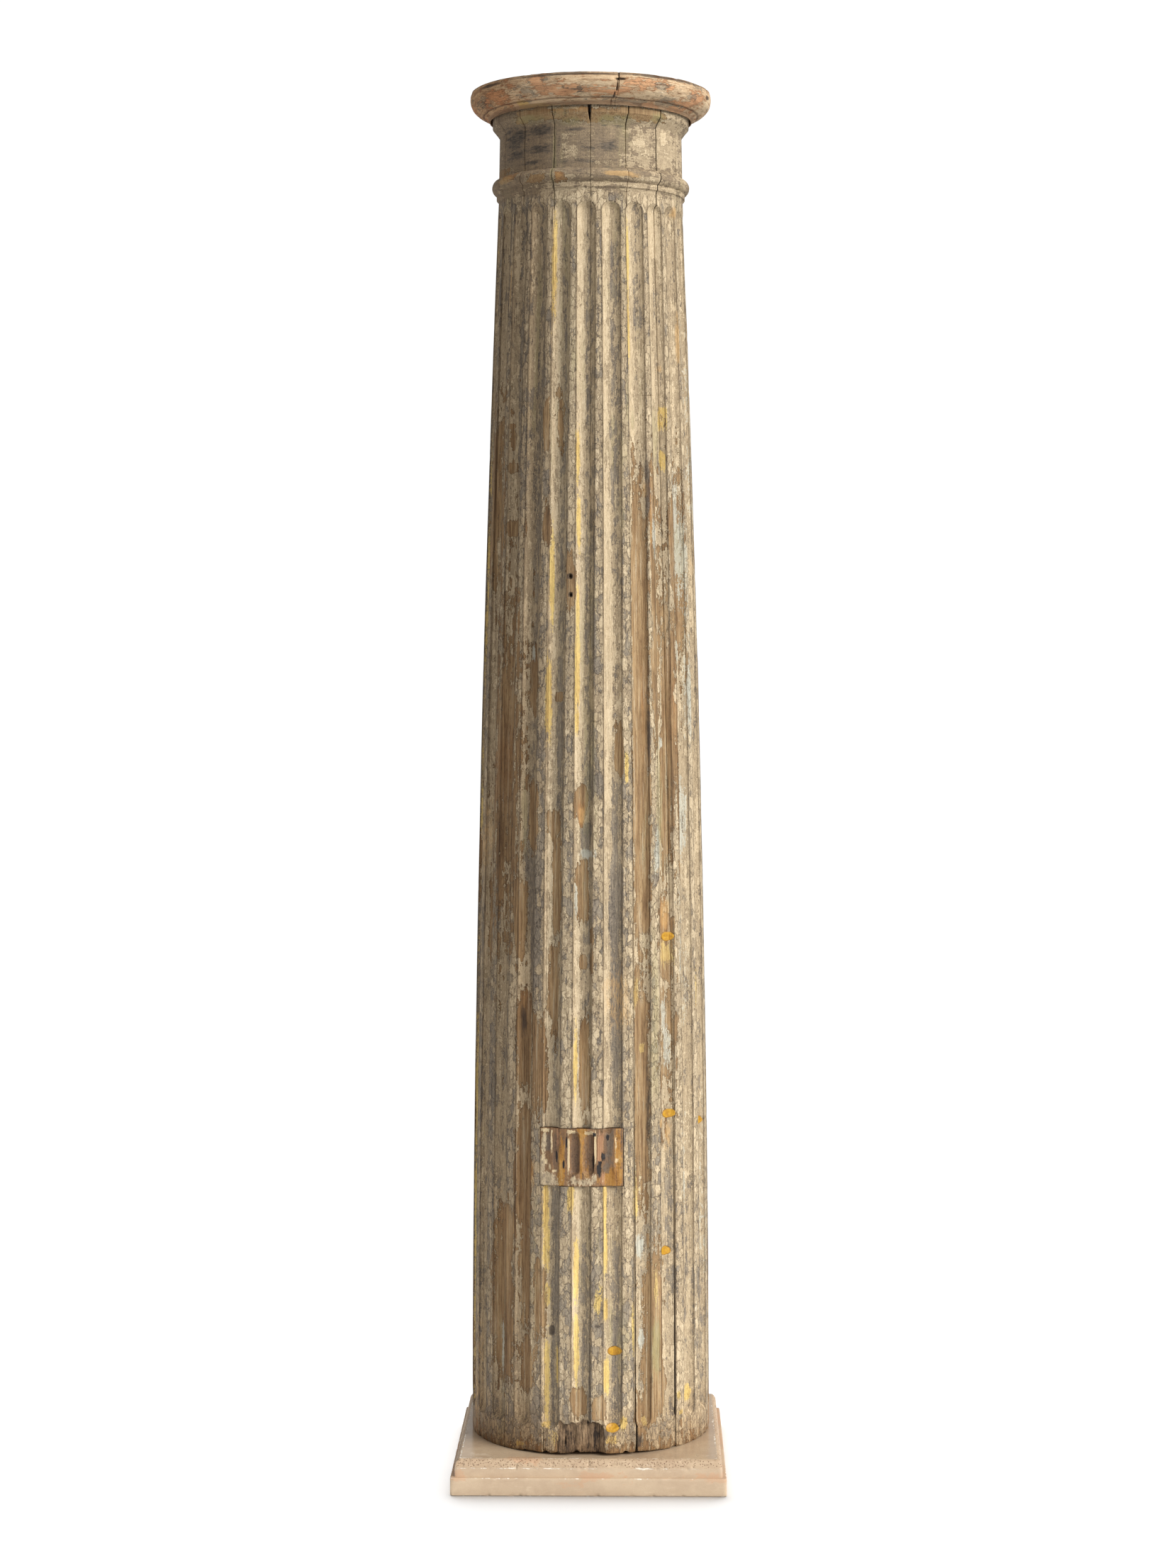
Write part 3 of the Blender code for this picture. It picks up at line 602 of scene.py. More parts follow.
class Finish:
    """One procedural material being made up from nodes."""

    def __init__(self, name):
        self.material = bpy.data.materials.new(name)
        self.material.use_nodes = True
        self.tree = self.material.node_tree
        self.tree.nodes.clear()
        self.place = self.node("ShaderNodeTexCoord").outputs["Object"]
        self.colour = None

    def node(self, kind, settings=None, values=None):
        """Add a node, set it up and fill its sockets with numbers, colours or links."""
        node = self.tree.nodes.new(kind)
        for key, setting in (settings or {}).items():
            if key == "stops":
                self._set_stops(node, setting)
            else:
                setattr(node, key, setting)
        for key, value in (values or {}).items():
            socket = node.inputs[key]
            if isinstance(value, Value):
                self.tree.links.new(value.socket, socket)
            elif isinstance(value, bpy.types.NodeSocket):
                self.tree.links.new(value, socket)
            elif socket.type == "RGBA" and len(value) == 3:
                socket.default_value = shade(*value)
            else:
                socket.default_value = value
        return node

    def _set_stops(self, node, stops):
        elements = node.color_ramp.elements
        while len(elements) < len(stops):
            elements.new(1.0)
        for element, (position, *tone) in zip(elements, stops):
            element.position = position
            element.color = shade(*tone)

    def stretched(self, scale):
        """Object coordinates stretched by a scale along each axis."""
        node = self.node(
            "ShaderNodeVectorMath", {"operation": "MULTIPLY"}, {0: self.place, 1: scale})
        return node.outputs[0]

    def noise(self, flat, tall, detail, roughness=0.5, distortion=0.0, shift=0.0):
        """Fractal noise about zero, mostly within -1 and 1; flat and tall are its scales."""
        moved = self.node(
            "ShaderNodeVectorMath", {"operation": "ADD"},
            {0: self.stretched((flat, flat, tall)), 1: (shift, shift * 1.7, shift * 0.6)})
        node = self.node(
            "ShaderNodeTexNoise", {"noise_dimensions": "3D"},
            {"Vector": moved.outputs[0], "Scale": 1.0, "Detail": detail,
             "Roughness": roughness, "Distortion": distortion})
        return (Value(self, node.outputs[0]) - 0.5) * 3.0

    def cells(self, scale, warp, features, shift=0.0):
        """Scattered cells with wavering outlines: one value for each feature asked for."""
        wave = self.node(
            "ShaderNodeTexNoise", {"noise_dimensions": "3D"},
            {"Vector": self.stretched([part * 1.3 for part in scale]), "Scale": 1.0,
             "Detail": 4.0, "Roughness": 0.6})
        moved = self.node(
            "ShaderNodeVectorMath", {"operation": "MULTIPLY_ADD"},
            {0: wave.outputs["Color"], 1: (warp, warp, warp), 2: self.stretched(scale)})
        moved = self.node(
            "ShaderNodeVectorMath", {"operation": "ADD"},
            {0: moved.outputs[0], 1: (shift, shift * 1.3, shift * 0.7)})
        found = []
        for feature, output in features:
            node = self.node(
                "ShaderNodeTexVoronoi", {"feature": feature},
                {"Vector": moved.outputs[0], "Scale": 1.0})
            found.append(Value(self, node.outputs[output]))
        return found

    def fields(self, name):
        """The four values stored on the vertices under one name."""
        stored = self.node("ShaderNodeAttribute", {"attribute_name": name})
        parts = self.node("ShaderNodeSeparateColor", None, {0: stored.outputs["Color"]})
        found = [Value(self, parts.outputs[index]) for index in range(3)]
        found.append(Value(self, stored.outputs["Alpha"]))
        return found

    def over(self, value, edge, soft):
        """0 below an edge and 1 above it, with a soft step between."""
        node = self.node(
            "ShaderNodeMapRange", {"interpolation_type": "SMOOTHSTEP"},
            {0: value, 1: edge - soft, 2: edge + soft, 3: 0.0, 4: 1.0})
        return Value(self, node.outputs[0])

    def line(self, value, width, soft):
        """1 where a value passes through zero and 0 away from it."""
        return 1.0 - self.over(abs(value), width, soft)

    def mix(self, share, first, second):
        """One colour changing to another by a share."""
        node = self.node(
            "ShaderNodeMix", {"data_type": "RGBA"}, {0: share, 6: first, 7: second})
        return node.outputs[2]

    def tint(self, share, first, second):
        """A colour multiplied by another, by a share."""
        node = self.node(
            "ShaderNodeMix", {"data_type": "RGBA", "blend_type": "MULTIPLY"},
            {0: share, 6: first, 7: second})
        return node.outputs[2]

    def lay(self, share, tone):
        """Lay a coat over the colour so far, by a share."""
        self.colour = self.mix(share, self.colour, tone)

    def darken(self, share, tone):
        """Multiply the colour so far by a tone, by a share."""
        self.colour = self.tint(share, self.colour, tone)

    def ramp(self, value, stops):
        """Colours picked along a value."""
        node = self.node("ShaderNodeValToRGB", {"stops": stops}, {0: value})
        return node.outputs[0]

    def done(self, roughness, relief, depth, specular=0.35):
        """Join the colour, roughness and relief into the material's shader."""
        bump = self.node(
            "ShaderNodeBump", None, {"Strength": 1.0, "Distance": depth, "Height": relief})
        shader = self.node(
            "ShaderNodeBsdfPrincipled", None,
            {"Base Color": self.colour, "Roughness": roughness, "Normal": bump.outputs[0],
             "Specular IOR Level": specular})
        self.node("ShaderNodeOutputMaterial", None, {"Surface": shader.outputs[0]})
        return self.material


def shade(red, green, blue):
    """A colour given as it looks on a screen, 0 to 255, for a shader."""
    parts = []
    for part in (red, green, blue):
        part = part / 255.0
        parts.append(part / 12.92 if part <= 0.04045 else ((part + 0.055) / 1.055) ** 2.4)
    return (*parts, 1.0)


def make_flaking_paint():
    """Worn layers of slate, buff, cream and yellow paint on bare fluted wood; painted shade and
    highlights.
    """
    finish = Finish("flaking_paint_and_painted_shade")
    bare, slate, cream, yellow = finish.fields("coats")
    dark, ochre, green, blue = finish.fields("stains")
    grime_and_side_shade, arris, inside, rot = finish.fields("form")
    lay, neck, land, low = finish.fields("lay")

    fibre = finish.noise(620.0, 9.0, 3.0, 0.6)
    streak = finish.noise(170.0, 6.0, 4.0, 0.62, 0.0, 3.1)
    dash = finish.noise(420.0, 90.0, 3.0, 0.65, 0.0, 6.3)
    dash_across = finish.noise(80.0, 420.0, 3.0, 0.65, 0.3, 2.3)
    dash = dash + (dash_across - dash) * neck
    speck = finish.noise(560.0, 420.0, 2.0, 0.6, 0.0, 5.5)
    worm = finish.noise(150.0, 110.0, 2.0, 0.5, 1.6, 12.0)
    down = finish.noise(95.0, 26.0, 8.0, 0.7, 0.3, 7.7)
    level = finish.noise(26.0, 105.0, 8.0, 0.7, 0.5, 1.7)
    flake = down + (level - down) * neck
    second = finish.noise(64.0, 36.0, 8.0, 0.7, 0.3, 15.3)
    net = finish.noise(210.0, 140.0, 4.0, 0.7, 0.9, 33.0)
    cloud = finish.noise(9.0, 4.5, 2.0, 0.5, 0.0, 21.9)
    hairs = finish.noise(300.0, 4.0, 2.0, 0.5, 0.0, 31.0)
    bead, seam = finish.cells(
        (105.0, 105.0, 58.0), 0.9, (("F1", "Color"), ("DISTANCE_TO_EDGE", "Distance")))
    streak = streak * (1.0 - neck * 0.7)
    grit = dash * 0.45 + speck * 0.35 + worm * 0.25

    grain = fibre * 0.45 + streak * 0.5 + dash * 0.2
    wood = finish.ramp(grain * 0.75 + cloud * 0.15 + 0.52, [
        (0.05, 84, 62, 43), (0.35, 136, 108, 76), (0.6, 166, 137, 99),
        (0.92, 202, 174, 133)])
    warm = finish.over(ochre + second * 0.5 + streak * 0.4, 0.3, 0.5)
    wood = finish.tint(warm * 0.8, wood, (246, 202, 152))
    olive = finish.over(green + streak * 0.6 + second * 0.4, 0.3, 0.3)
    wood = finish.mix(olive * 0.7, wood, (158, 148, 104))
    wash = finish.over(streak + hairs * 0.5 + second * 0.4, 0.3, 0.3) * finish.over(fibre, -0.3, 0.3)
    wood = finish.mix(wash * 0.4, wood, (184, 176, 156))

    # The lean carries painted light and shade on the flute walls and the two sides, with the paint's
    # own tone.
    lean = lay * 0.5 + (bead - 0.5) * (0.3 + land * 0.5) + grit * 0.4 + net * low * 0.35
    lean = lean - neck * 0.34 - low * 0.14
    scrape = (slate + second * 0.5 + dash * 0.35 + 0.5).largest(0.0) * 0.65
    buff_depth = flake * 0.6 + second * 0.5 + streak * 0.3 + lean + 0.42
    buff_depth = buff_depth - scrape + cream.largest(-0.4) * 0.5
    cream_depth = second * 0.6 - flake * 0.5 + streak * 0.35 + lean * 1.3 + cloud * 0.25
    cream_depth = cream_depth + (cream.largest(-0.5) + 0.5) * 0.6 - scrape
    slate_coat = finish.ramp(grit * 0.8 + streak * 0.4 - slate.largest(-0.4) * 0.2 + 0.45, [
        (0.0, 92, 84, 76), (0.35, 136, 125, 111), (0.65, 160, 147, 127),
        (1.0, 192, 176, 150)])
    buff_coat = finish.ramp(grit * 0.8 + streak * 0.3 + 0.5, [
        (0.0, 136, 120, 99), (0.35, 172, 153, 125), (0.65, 194, 175, 144),
        (1.0, 216, 199, 167)])
    cream_coat = finish.ramp(grit * 0.7 + streak * 0.25 + 0.5, [
        (0.0, 160, 140, 112), (0.35, 196, 176, 144), (0.65, 212, 193, 161),
        (1.0, 228, 212, 182)])
    buff = finish.over(buff_depth, 0.0, 0.11)
    cream_top = finish.over(cream_depth, 0.22, 0.1)
    slate_coat = finish.tint(neck * 0.6, slate_coat, (244, 226, 200))
    finish.colour = finish.mix(buff, slate_coat, buff_coat)
    # Painted shadow just outside the edges of the buff and the cream flakes.
    finish.darken((finish.over(buff_depth, -0.13, 0.07) - buff) * 0.3, (128, 114, 104))
    finish.lay(cream_top, cream_coat)
    finish.darken((finish.over(cream_depth, 0.09, 0.07) - cream_top) * 0.3, (140, 124, 108))

    ragged = dash * 0.4 + worm * 0.3 + speck * 0.25
    smoke_depth = slate * 0.8 + level * 1.1 + second * 0.3 + ragged * 0.9
    smoke = finish.over(smoke_depth, 0.36, 0.05)
    smoke_coat = finish.mix(finish.over(dash + streak, 0.1, 0.5), (66, 63, 60), (120, 108, 94))
    finish.lay(smoke * (0.25 + neck * 0.6), smoke_coat)
    gold = finish.over(yellow + flake * 0.45 + ragged + streak * 0.4, 0.15, 0.2)
    gold_coat = finish.mix(finish.over(grit + streak, 0.0, 0.8), (202, 166, 94),
                           (238, 210, 126))
    white = finish.over(blue + second * 0.45 + streak * 0.4 + ragged * 0.8, 0.3, 0.14)
    finish.lay(gold * 0.85, gold_coat)
    finish.lay(white * 0.75, (200, 201, 188))
    finish.lay(olive * 0.35, (160, 152, 108))

    lift = flake * 0.5 + second * 0.45 + streak * 0.25 + grit * 0.25
    paint_edge = lift * 1.1 - bare.largest(-0.95)
    coat = finish.over(paint_edge, 0.0, 0.035).largest(gold * 0.6).largest(white * 0.9)
    # Painted highlight just inside each flake's edge and painted shadow just outside it.
    lip = finish.over(paint_edge, 0.0, 0.035) - finish.over(paint_edge, 0.09, 0.05)
    flake_edge_shadow = finish.over(paint_edge, -0.09, 0.05) - finish.over(paint_edge, 0.0, 0.035)
    finish.lay(lip * 0.45, (222, 206, 174))
    finish.colour = finish.mix(coat, wood, finish.colour)
    finish.darken(flake_edge_shadow * 0.5, (118, 100, 84))

    seams = (1.0 - finish.over(seam, 0.045, 0.035)) * (land * 0.45 + 0.05) * coat
    worms = finish.line(worm, 0.03, 0.06) * finish.over(cloud, -0.3, 0.6) * coat
    lines = finish.line(hairs, 0.012, 0.022) * (1.0 - neck)
    finish.darken(seams, (106, 92, 80))
    finish.darken(worms * 0.35, (120, 106, 94))
    finish.darken(lines * 0.65, (100, 86, 74))
    # Dark line along each flute arris: painted shadow line, partly paint cracks.
    finish.darken(finish.over(arris + dash * 0.3, 0.5, 0.3) * 0.55, (112, 98, 82))
    finish.lay(finish.over(ochre + second * 0.3 + dash * 0.3, 0.45, 0.2) * 0.6, (208, 168, 112))
    soot = finish.over(dark + second * 0.4 + dash * 0.3, 0.35, 0.25)
    finish.lay(soot * 0.8, (70, 60, 54))
    rotten = finish.ramp(grain * 0.7 + second * 0.5 + 0.42, [
        (0.12, 44, 34, 26), (0.42, 126, 105, 82), (0.85, 184, 160, 128)])
    finish.lay(rot, rotten)
    # Painted shade on the left side, away from the key light, with some grime; darker towards the foot
    # too.
    finish.darken(grime_and_side_shade, (206, 184, 160))
    finish.lay(finish.over(inside, 0.5, 0.2), wood)

    rough = 0.8 - gold * 0.2 + speck * 0.04
    relief = coat * 0.5 + buff * 0.2 + cream_top * 0.25 + fibre * 0.12 + grit * 0.25
    relief = relief - seams * 0.4 - worms * 0.15 - lines * 0.4 + rot * (dash + grain) * 0.35
    return finish.done(rough, relief, 0.9 * MM)


def make_ring_paint():
    """Weathered paint on the capital ring, its grain running round; painted shade on its left and at
    its ridge.
    """
    finish = Finish("weathered_paint_and_painted_shade")
    bare, slate, cream, ochre = finish.fields("coats")
    dark, grime_and_side_shade, inside, cove = finish.fields("stains")
    fibre = finish.noise(24.0, 640.0, 3.0, 0.6)
    streak = finish.noise(16.0, 170.0, 5.0, 0.62, 0.2, 4.2)
    flake = finish.noise(52.0, 130.0, 8.0, 0.7, 0.4, 11.0)
    blotch = finish.noise(34.0, 60.0, 7.0, 0.68, 0.4, 19.0)
    cloud = finish.noise(11.0, 22.0, 2.0, 0.5, 0.0, 2.0)
    speck = finish.noise(460.0, 620.0, 2.0, 0.6, 0.0, 6.0)
    worm = finish.noise(110.0, 190.0, 2.0, 0.5, 1.6, 9.0)
    craze = finish.noise(30.0, 420.0, 3.0, 0.6, 0.6, 8.0)
    scratch = finish.noise(44.0, 560.0, 4.0, 0.68, 0.2, 14.0)

    grain = fibre * 0.4 + streak * 0.5 + speck * 0.25 + scratch * 0.35
    wood = finish.ramp(grain * 0.5 + flake * 0.2 + 0.5, [
        (0.0, 146, 104, 74), (0.4, 212, 160, 118), (0.7, 230, 184, 140),
        (1.0, 238, 206, 166)])
    beige = finish.ramp(grain * 0.6 + flake * 0.35 + cloud * 0.2 + 0.5, [
        (0.0, 126, 104, 82), (0.3, 180, 150, 118), (0.5, 214, 184, 147),
        (0.75, 232, 206, 170), (1.0, 240, 222, 192)])
    paint_depth = flake * 0.7 + blotch * 0.5 + streak * 0.3 + scratch * 0.35
    paint_depth = paint_depth - bare.largest(-0.6) * 0.7
    paint = finish.over(paint_depth, 0.0, 0.1)
    slate_depth = slate * 0.55 + blotch * 0.3 + flake * 0.7 + streak * 0.3 + scratch * 0.3
    slate_coat = finish.over(slate_depth, 0.25, 0.08)
    slate_rim = finish.line(slate_depth - 0.25, 0.05, 0.07)
    cream_coat = finish.over(cream * 0.7 + flake * 0.5 + streak * 0.7 + craze * 0.3, 0.1, 0.12)
    ochre_coat = finish.over(ochre + streak * 0.4 + flake * 0.2, 0.15, 0.15)
    finish.colour = finish.mix(paint, wood, beige)
    finish.lay(cream_coat * 0.8, (226, 202, 166))
    finish.lay(ochre_coat * 0.75, (214, 184, 114))
    finish.lay(slate_coat * 0.55, (142, 132, 116))
    finish.lay(slate_rim * 0.65, (96, 92, 88))
    # Painted shadow just outside the edges of the paint's flakes.
    rim = finish.over(paint_depth, -0.14, 0.08) - paint
    cracks = finish.line(craze, 0.03, 0.05) * finish.over(cloud + flake * 0.5, 0.0, 0.4)
    worms = finish.line(worm, 0.03, 0.06) * finish.over(blotch, 0.1, 0.4)
    finish.darken(rim.largest(0.0) * 0.5, (130, 108, 90))
    finish.darken(cracks * 0.55, (110, 92, 78))
    finish.darken(worms * 0.4, (120, 104, 92))
    finish.lay(finish.over(dark + flake * 0.4 + speck * 0.1, 0.3, 0.3) * 0.85, (66, 50, 40))
    # Painted shade on the ring's left side, away from the key light, with some grime.
    finish.darken(grime_and_side_shade, (214, 188, 160))
    # Dark line at the ridge under the ovolo: painted shade in the crease.
    finish.darken(finish.line(cove - 0.5, 0.14, 0.2) * 0.8, (110, 88, 70))
    finish.lay(finish.over(inside, 0.5, 0.3) * 0.7, (130, 100, 74))
    rough = 0.78 - cream_coat * 0.08 + speck * 0.03
    relief = paint * 0.3 + slate_coat * 0.2 + streak * 0.25 + fibre * 0.12 - cracks * 0.4
    relief = relief + flake * 0.15 + speck * 0.08 - worms * 0.15
    return finish.done(rough, relief, 1.0 * MM)


def make_patch_wood():
    """Amber-stained repair with scorched hollows and scraps of old paint."""
    finish = Finish("patch_wood_scorched")
    amber, plum, pale, salmon = finish.fields("strips")
    soot, cream, grey, edge = finish.fields("marks")
    fibre = finish.noise(640.0, 16.0, 3.0, 0.6)
    streak = finish.noise(260.0, 14.0, 4.0, 0.64, 0.0, 2.4)
    blotch = finish.noise(230.0, 90.0, 7.0, 0.68, 0.4, 9.0)
    mottle = finish.noise(330.0, 240.0, 5.0, 0.7, 0.6, 19.0)
    cloud = finish.noise(60.0, 24.0, 3.0, 0.6, 0.3, 29.0)
    ragged = blotch * 0.55 + streak * 0.45 + mottle * 0.3
    grain = streak * 0.8 + fibre * 0.4 + cloud * 0.6 + mottle * 0.3

    def strip(field, coat, share=1.0):
        finish.lay(finish.over(field * 0.85 + ragged, 0.05, 0.14) * share, coat)

    finish.colour = finish.ramp(grain * 0.5 + 0.5, [
        (0.1, 78, 56, 38), (0.5, 132, 98, 66), (0.9, 178, 140, 98)])
    amber_tone = finish.ramp(grain * 0.65 + 0.5, [
        (0.0, 70, 44, 20), (0.3, 130, 86, 32), (0.6, 178, 126, 48),
        (1.0, 222, 182, 108)])
    plum_tone = finish.ramp(grain * 0.5 + mottle * 0.2 + 0.5, [
        (0.1, 58, 42, 34), (0.45, 100, 76, 58), (0.9, 150, 118, 90)])
    paint = finish.ramp(mottle * 0.5 + blotch * 0.4 + 0.5, [
        (0.1, 112, 102, 90), (0.45, 166, 148, 122), (0.8, 210, 190, 154)])
    strip(amber, amber_tone)
    strip(plum, plum_tone, 0.9)
    strip(grey, (100, 88, 76), 0.75)
    salmon_tone = finish.mix(finish.over(streak + fibre, 0.0, 0.6), (150, 104, 72),
                             (206, 158, 118))
    strip(salmon, salmon_tone, 0.8)
    finish.lay(finish.over(streak + blotch * 0.5, 0.55, 0.2) * 0.35, (54, 38, 28))
    finish.darken(finish.over(streak + fibre * 0.6 + cloud * 0.5, 0.1, 0.5) * 0.4, (128, 98, 72))
    strip(cream, paint)
    strip(pale, (218, 196, 156), 0.85)
    finish.lay(finish.line(mottle, 0.03, 0.05) * 0.3, (206, 176, 128))
    strip(soot, (30, 22, 20))
    finish.darken(finish.over(edge + blotch * 0.3, 0.75, 0.2) * 0.5, (130, 92, 60))
    rough = 0.52 + finish.over(pale.largest(cream), 0.1, 0.2) * 0.25 + streak * 0.05
    relief = fibre * 0.15 + streak * 0.3 + blotch * 0.3 + mottle * 0.15
    return finish.done(rough, relief, 0.9 * MM, 0.45)


def make_amber_filler():
    """Satin amber filler, darker at its rim."""
    finish = Finish("amber_filler_satin")
    rim = finish.fields("plug")[1]
    mottle = finish.noise(160.0, 160.0, 4.0, 0.6)
    drag = finish.noise(420.0, 60.0, 3.0, 0.5, 0.0, 4.0)
    finish.colour = finish.mix(
        finish.over(mottle + drag * 0.5, 0.0, 0.8), (166, 116, 14), (204, 156, 36))
    edge = finish.over(rim + mottle * 0.12, 0.86, 0.1)
    finish.lay(edge * 0.6, (134, 92, 30))
    rough = 0.5 + drag * 0.08
    return finish.done(rough, drag * 0.3 + mottle * 0.4, 0.5 * MM, 0.5)


def make_stone():
    """Honed beige limestone with pits, pale chips along its arrises and stains."""
    finish = Finish("pale_stone_pitted")
    rough_zone, arris, flat_top, stain = finish.fields("stone")
    cloud = finish.noise(12.0, 22.0, 3.0, 0.55)
    mottle = finish.noise(60.0, 90.0, 6.0, 0.65, 0.5, 3.0)
    grit = finish.noise(520.0, 520.0, 3.0, 0.6, 0.0, 8.0)
    vein = finish.noise(24.0, 150.0, 4.0, 0.6, 0.6, 12.0)
    flaw = finish.noise(110.0, 210.0, 5.0, 0.66, 0.3, 17.0)
    spread = finish.noise(16.0, 16.0, 2.0, 0.5, 0.0, 27.0)
    pits, = finish.cells((290.0, 290.0, 330.0), 0.5, (("F1", "Distance"),), 2.0)
    pores = 1.0 - finish.over(pits + grit * 0.08 - rough_zone * 0.16, 0.12, 0.07)
    pores = pores * finish.over(mottle + rough_zone * 0.8, 0.45, 0.25)
    finish.colour = finish.mix(
        finish.over(cloud + mottle * 0.7, 0.0, 1.0), (184, 160, 134), (202, 180, 152))
    finish.lay(finish.over(vein + mottle * 0.5, 0.6, 0.3) * 0.5, (226, 208, 184))
    finish.lay(finish.over(stain + mottle * 0.7, 0.3, 0.15) * 0.45, (196, 152, 118))
    chip = finish.over(flaw + spread * 0.6 - (1.0 - arris) * 1.3, 0.1, 0.1)
    finish.lay(chip * 0.85, (240, 230, 214))
    finish.darken(rough_zone * 0.25, (226, 208, 186))
    finish.darken(pores * 0.65, (150, 118, 92))
    finish.darken(finish.over(grit + mottle * 0.3, 0.5, 0.3) * 0.2, (190, 164, 138))
    rough = 0.55 - flat_top * 0.38 + chip * 0.2 + mottle * 0.04
    relief = mottle * 0.12 + grit * 0.05 - pores * 0.9 - chip * 0.5
    return finish.done(rough, relief, 0.6 * MM, 0.45)


def joint_opening(joint, height):
    """Width by which a joint between staves has opened at each height."""
    joint = joint % STAVE_COUNT
    width = NECK_OPENING * (0.2 if joint in (0, 1) else 1.0)
    neck = np.interp(height, [SHAFT_HEIGHT - 60.0 * MM, SHAFT_HEIGHT], [0.0, width])
    if joint == 0:
        return neck + np.interp(height, [NECK_TOP, BAND_FOOT], [0.0, BAND_OPENING])
    if joint == 1:
        neck = neck + np.interp(height, [NECK_TOP - 12.0 * MM, NECK_TOP], [0.0, NECK_OPENING])
        return neck + np.interp(height, [0.0, FRONT_OPENING_REACH, SHAFT_HEIGHT],
                                [FRONT_OPENING, 1.1 * MM, 0.0])
    if joint == 2:
        return neck + np.interp(height, [0.0, RIGHT_OPENING_REACH], [RIGHT_OPENING, 0.5 * MM])
    if joint == STAVE_COUNT - 3:
        return neck + np.interp(height, [0.0, LEFT_OPENING_REACH], [LEFT_OPENING, 0.0])
    return neck


def shaft_heights(step, fine):
    """Heights for the rows of a stave's shaft, closer together near fine work."""
    heights = [0.0]
    while heights[-1] < SHAFT_HEIGHT:
        here = heights[-1]
        gap = step
        for middle, reach, fine_step in fine:
            away = max(abs(here - middle) - reach, 0.0)
            gap = min(gap, fine_step + 0.3 * away)
        heights.append(here + gap)
    scale = SHAFT_HEIGHT / heights[-1]
    return [height * scale for height in heights]


def moulding_rows():
    """Radius and height of the rows over the astragal, the neck and the band."""
    rows = []
    for share in np.linspace(0.0, 1.0, 6)[1:]:
        angle = share * math.pi / 2
        radius = FILLET_RADIUS - (FILLET_RADIUS - SHAFT_TOP_RADIUS) * math.cos(angle)
        rows.append((radius, SHAFT_HEIGHT + CAVETTO_HEIGHT * math.sin(angle)))
    low = -math.acos((FILLET_RADIUS - BEAD_CENTRE_RADIUS) / BEAD_RADIUS)
    foot = BEAD_HEIGHT + BEAD_RADIUS * math.sin(low)
    for share in (0.06, 0.35, 0.65, 0.94):
        rows.append((FILLET_RADIUS, rows[4][1] + (foot - rows[4][1]) * share))
    for share in np.linspace(0.0, 1.0, 13):
        angle = low + (math.pi / 2 - low) * share
        radius = BEAD_CENTRE_RADIUS + BEAD_RADIUS * math.cos(angle)
        rows.append((radius, BEAD_HEIGHT + BEAD_RADIUS * math.sin(angle)))
    neck_foot = BEAD_HEIGHT + BEAD_RADIUS
    for share in np.linspace(0.01, 1.0, 22):
        radius = NECK_FOOT_RADIUS + (NECK_TOP_RADIUS - NECK_FOOT_RADIUS) * share
        rows.append((radius, neck_foot + (NECK_TOP - neck_foot) * share))
    for share in np.linspace(0.1, 1.0, 8):
        swing = share ** 1.15
        radius = NECK_TOP_RADIUS + (BAND_RADIUS - NECK_TOP_RADIUS) * swing
        rows.append((radius, NECK_TOP + (BAND_FOOT - NECK_TOP) * share))
    for share in np.linspace(0.04, 1.0, 12):
        rows.append((BAND_RADIUS, BAND_FOOT + (STAVE_TOP - BAND_FOOT) * share))
    return rows


def flute_reach(height):
    """Radius of the flute cutter at each height, less towards its round ends."""
    beyond = np.maximum(np.maximum(height - FLUTE_HIGH, FLUTE_LOW - height), 0.0)
    return np.sqrt(np.maximum(FLUTE_CUTTER ** 2 - beyond ** 2, 0.0))


def flute_arrises(height, low, high):
    """Azimuths where flutes meet the face of the shaft between two joints at a height."""
    radius = float(shaft_radius(height))
    cutter = float(flute_reach(height))
    distance = radius + FLUTE_OFFSET
    found = []
    if distance - cutter >= radius - 0.3 * MM:
        return found
    spread = math.acos((radius ** 2 + distance ** 2 - cutter ** 2) / (2 * radius * distance))
    for number in range(-1, FLUTE_COUNT + 1):
        middle = float(flute_middle(number, height))
        for azimuth in (middle - spread, middle + spread):
            for turn in (-2 * math.pi, 0.0, 2 * math.pi):
                if low + JOINT_MARGIN < azimuth + turn < high - JOINT_MARGIN:
                    found.append(azimuth + turn)
    return sorted({round(azimuth, 6) for azimuth in found})


def patch_edges(low, high, height):
    """Azimuths of the sides of the repair's pocket at a height, as close pairs."""
    if not PATCH_BOTTOM - 1.0 * MM < height < PATCH_BOTTOM + PATCH_HEIGHT + 1.0 * MM:
        return []
    radius = float(shaft_radius(height))
    middle = math.radians(PATCH_AZIMUTH)
    half = math.asin((PATCH_WIDTH / 2 + JOINT_GAP) / radius)
    found = []
    for side in (-1.0, 1.0):
        edge = middle + side * half
        if low + JOINT_MARGIN < edge < high - JOINT_MARGIN:
            found += [edge - 0.12 * MM / radius, edge + 0.12 * MM / radius]
    return found


def column_azimuths(shares, low, high, targets):
    """Azimuths of a row's vertices, with the nearest ones moved onto sharp features."""
    plain = low + (high - low) * shares
    sources = [plain[0]]
    places = [low]
    last = 0
    for target in targets:
        if not last and target - low < NEAR_JOINT:
            continue
        index = int(np.argmin(np.abs(plain - target)))
        index = max(index, last + 1)
        if index >= len(plain) - 1:
            continue
        sources.append(plain[index])
        places.append(target)
        last = index
    sources.append(plain[-1])
    places.append(high)
    return np.interp(plain, sources, places)


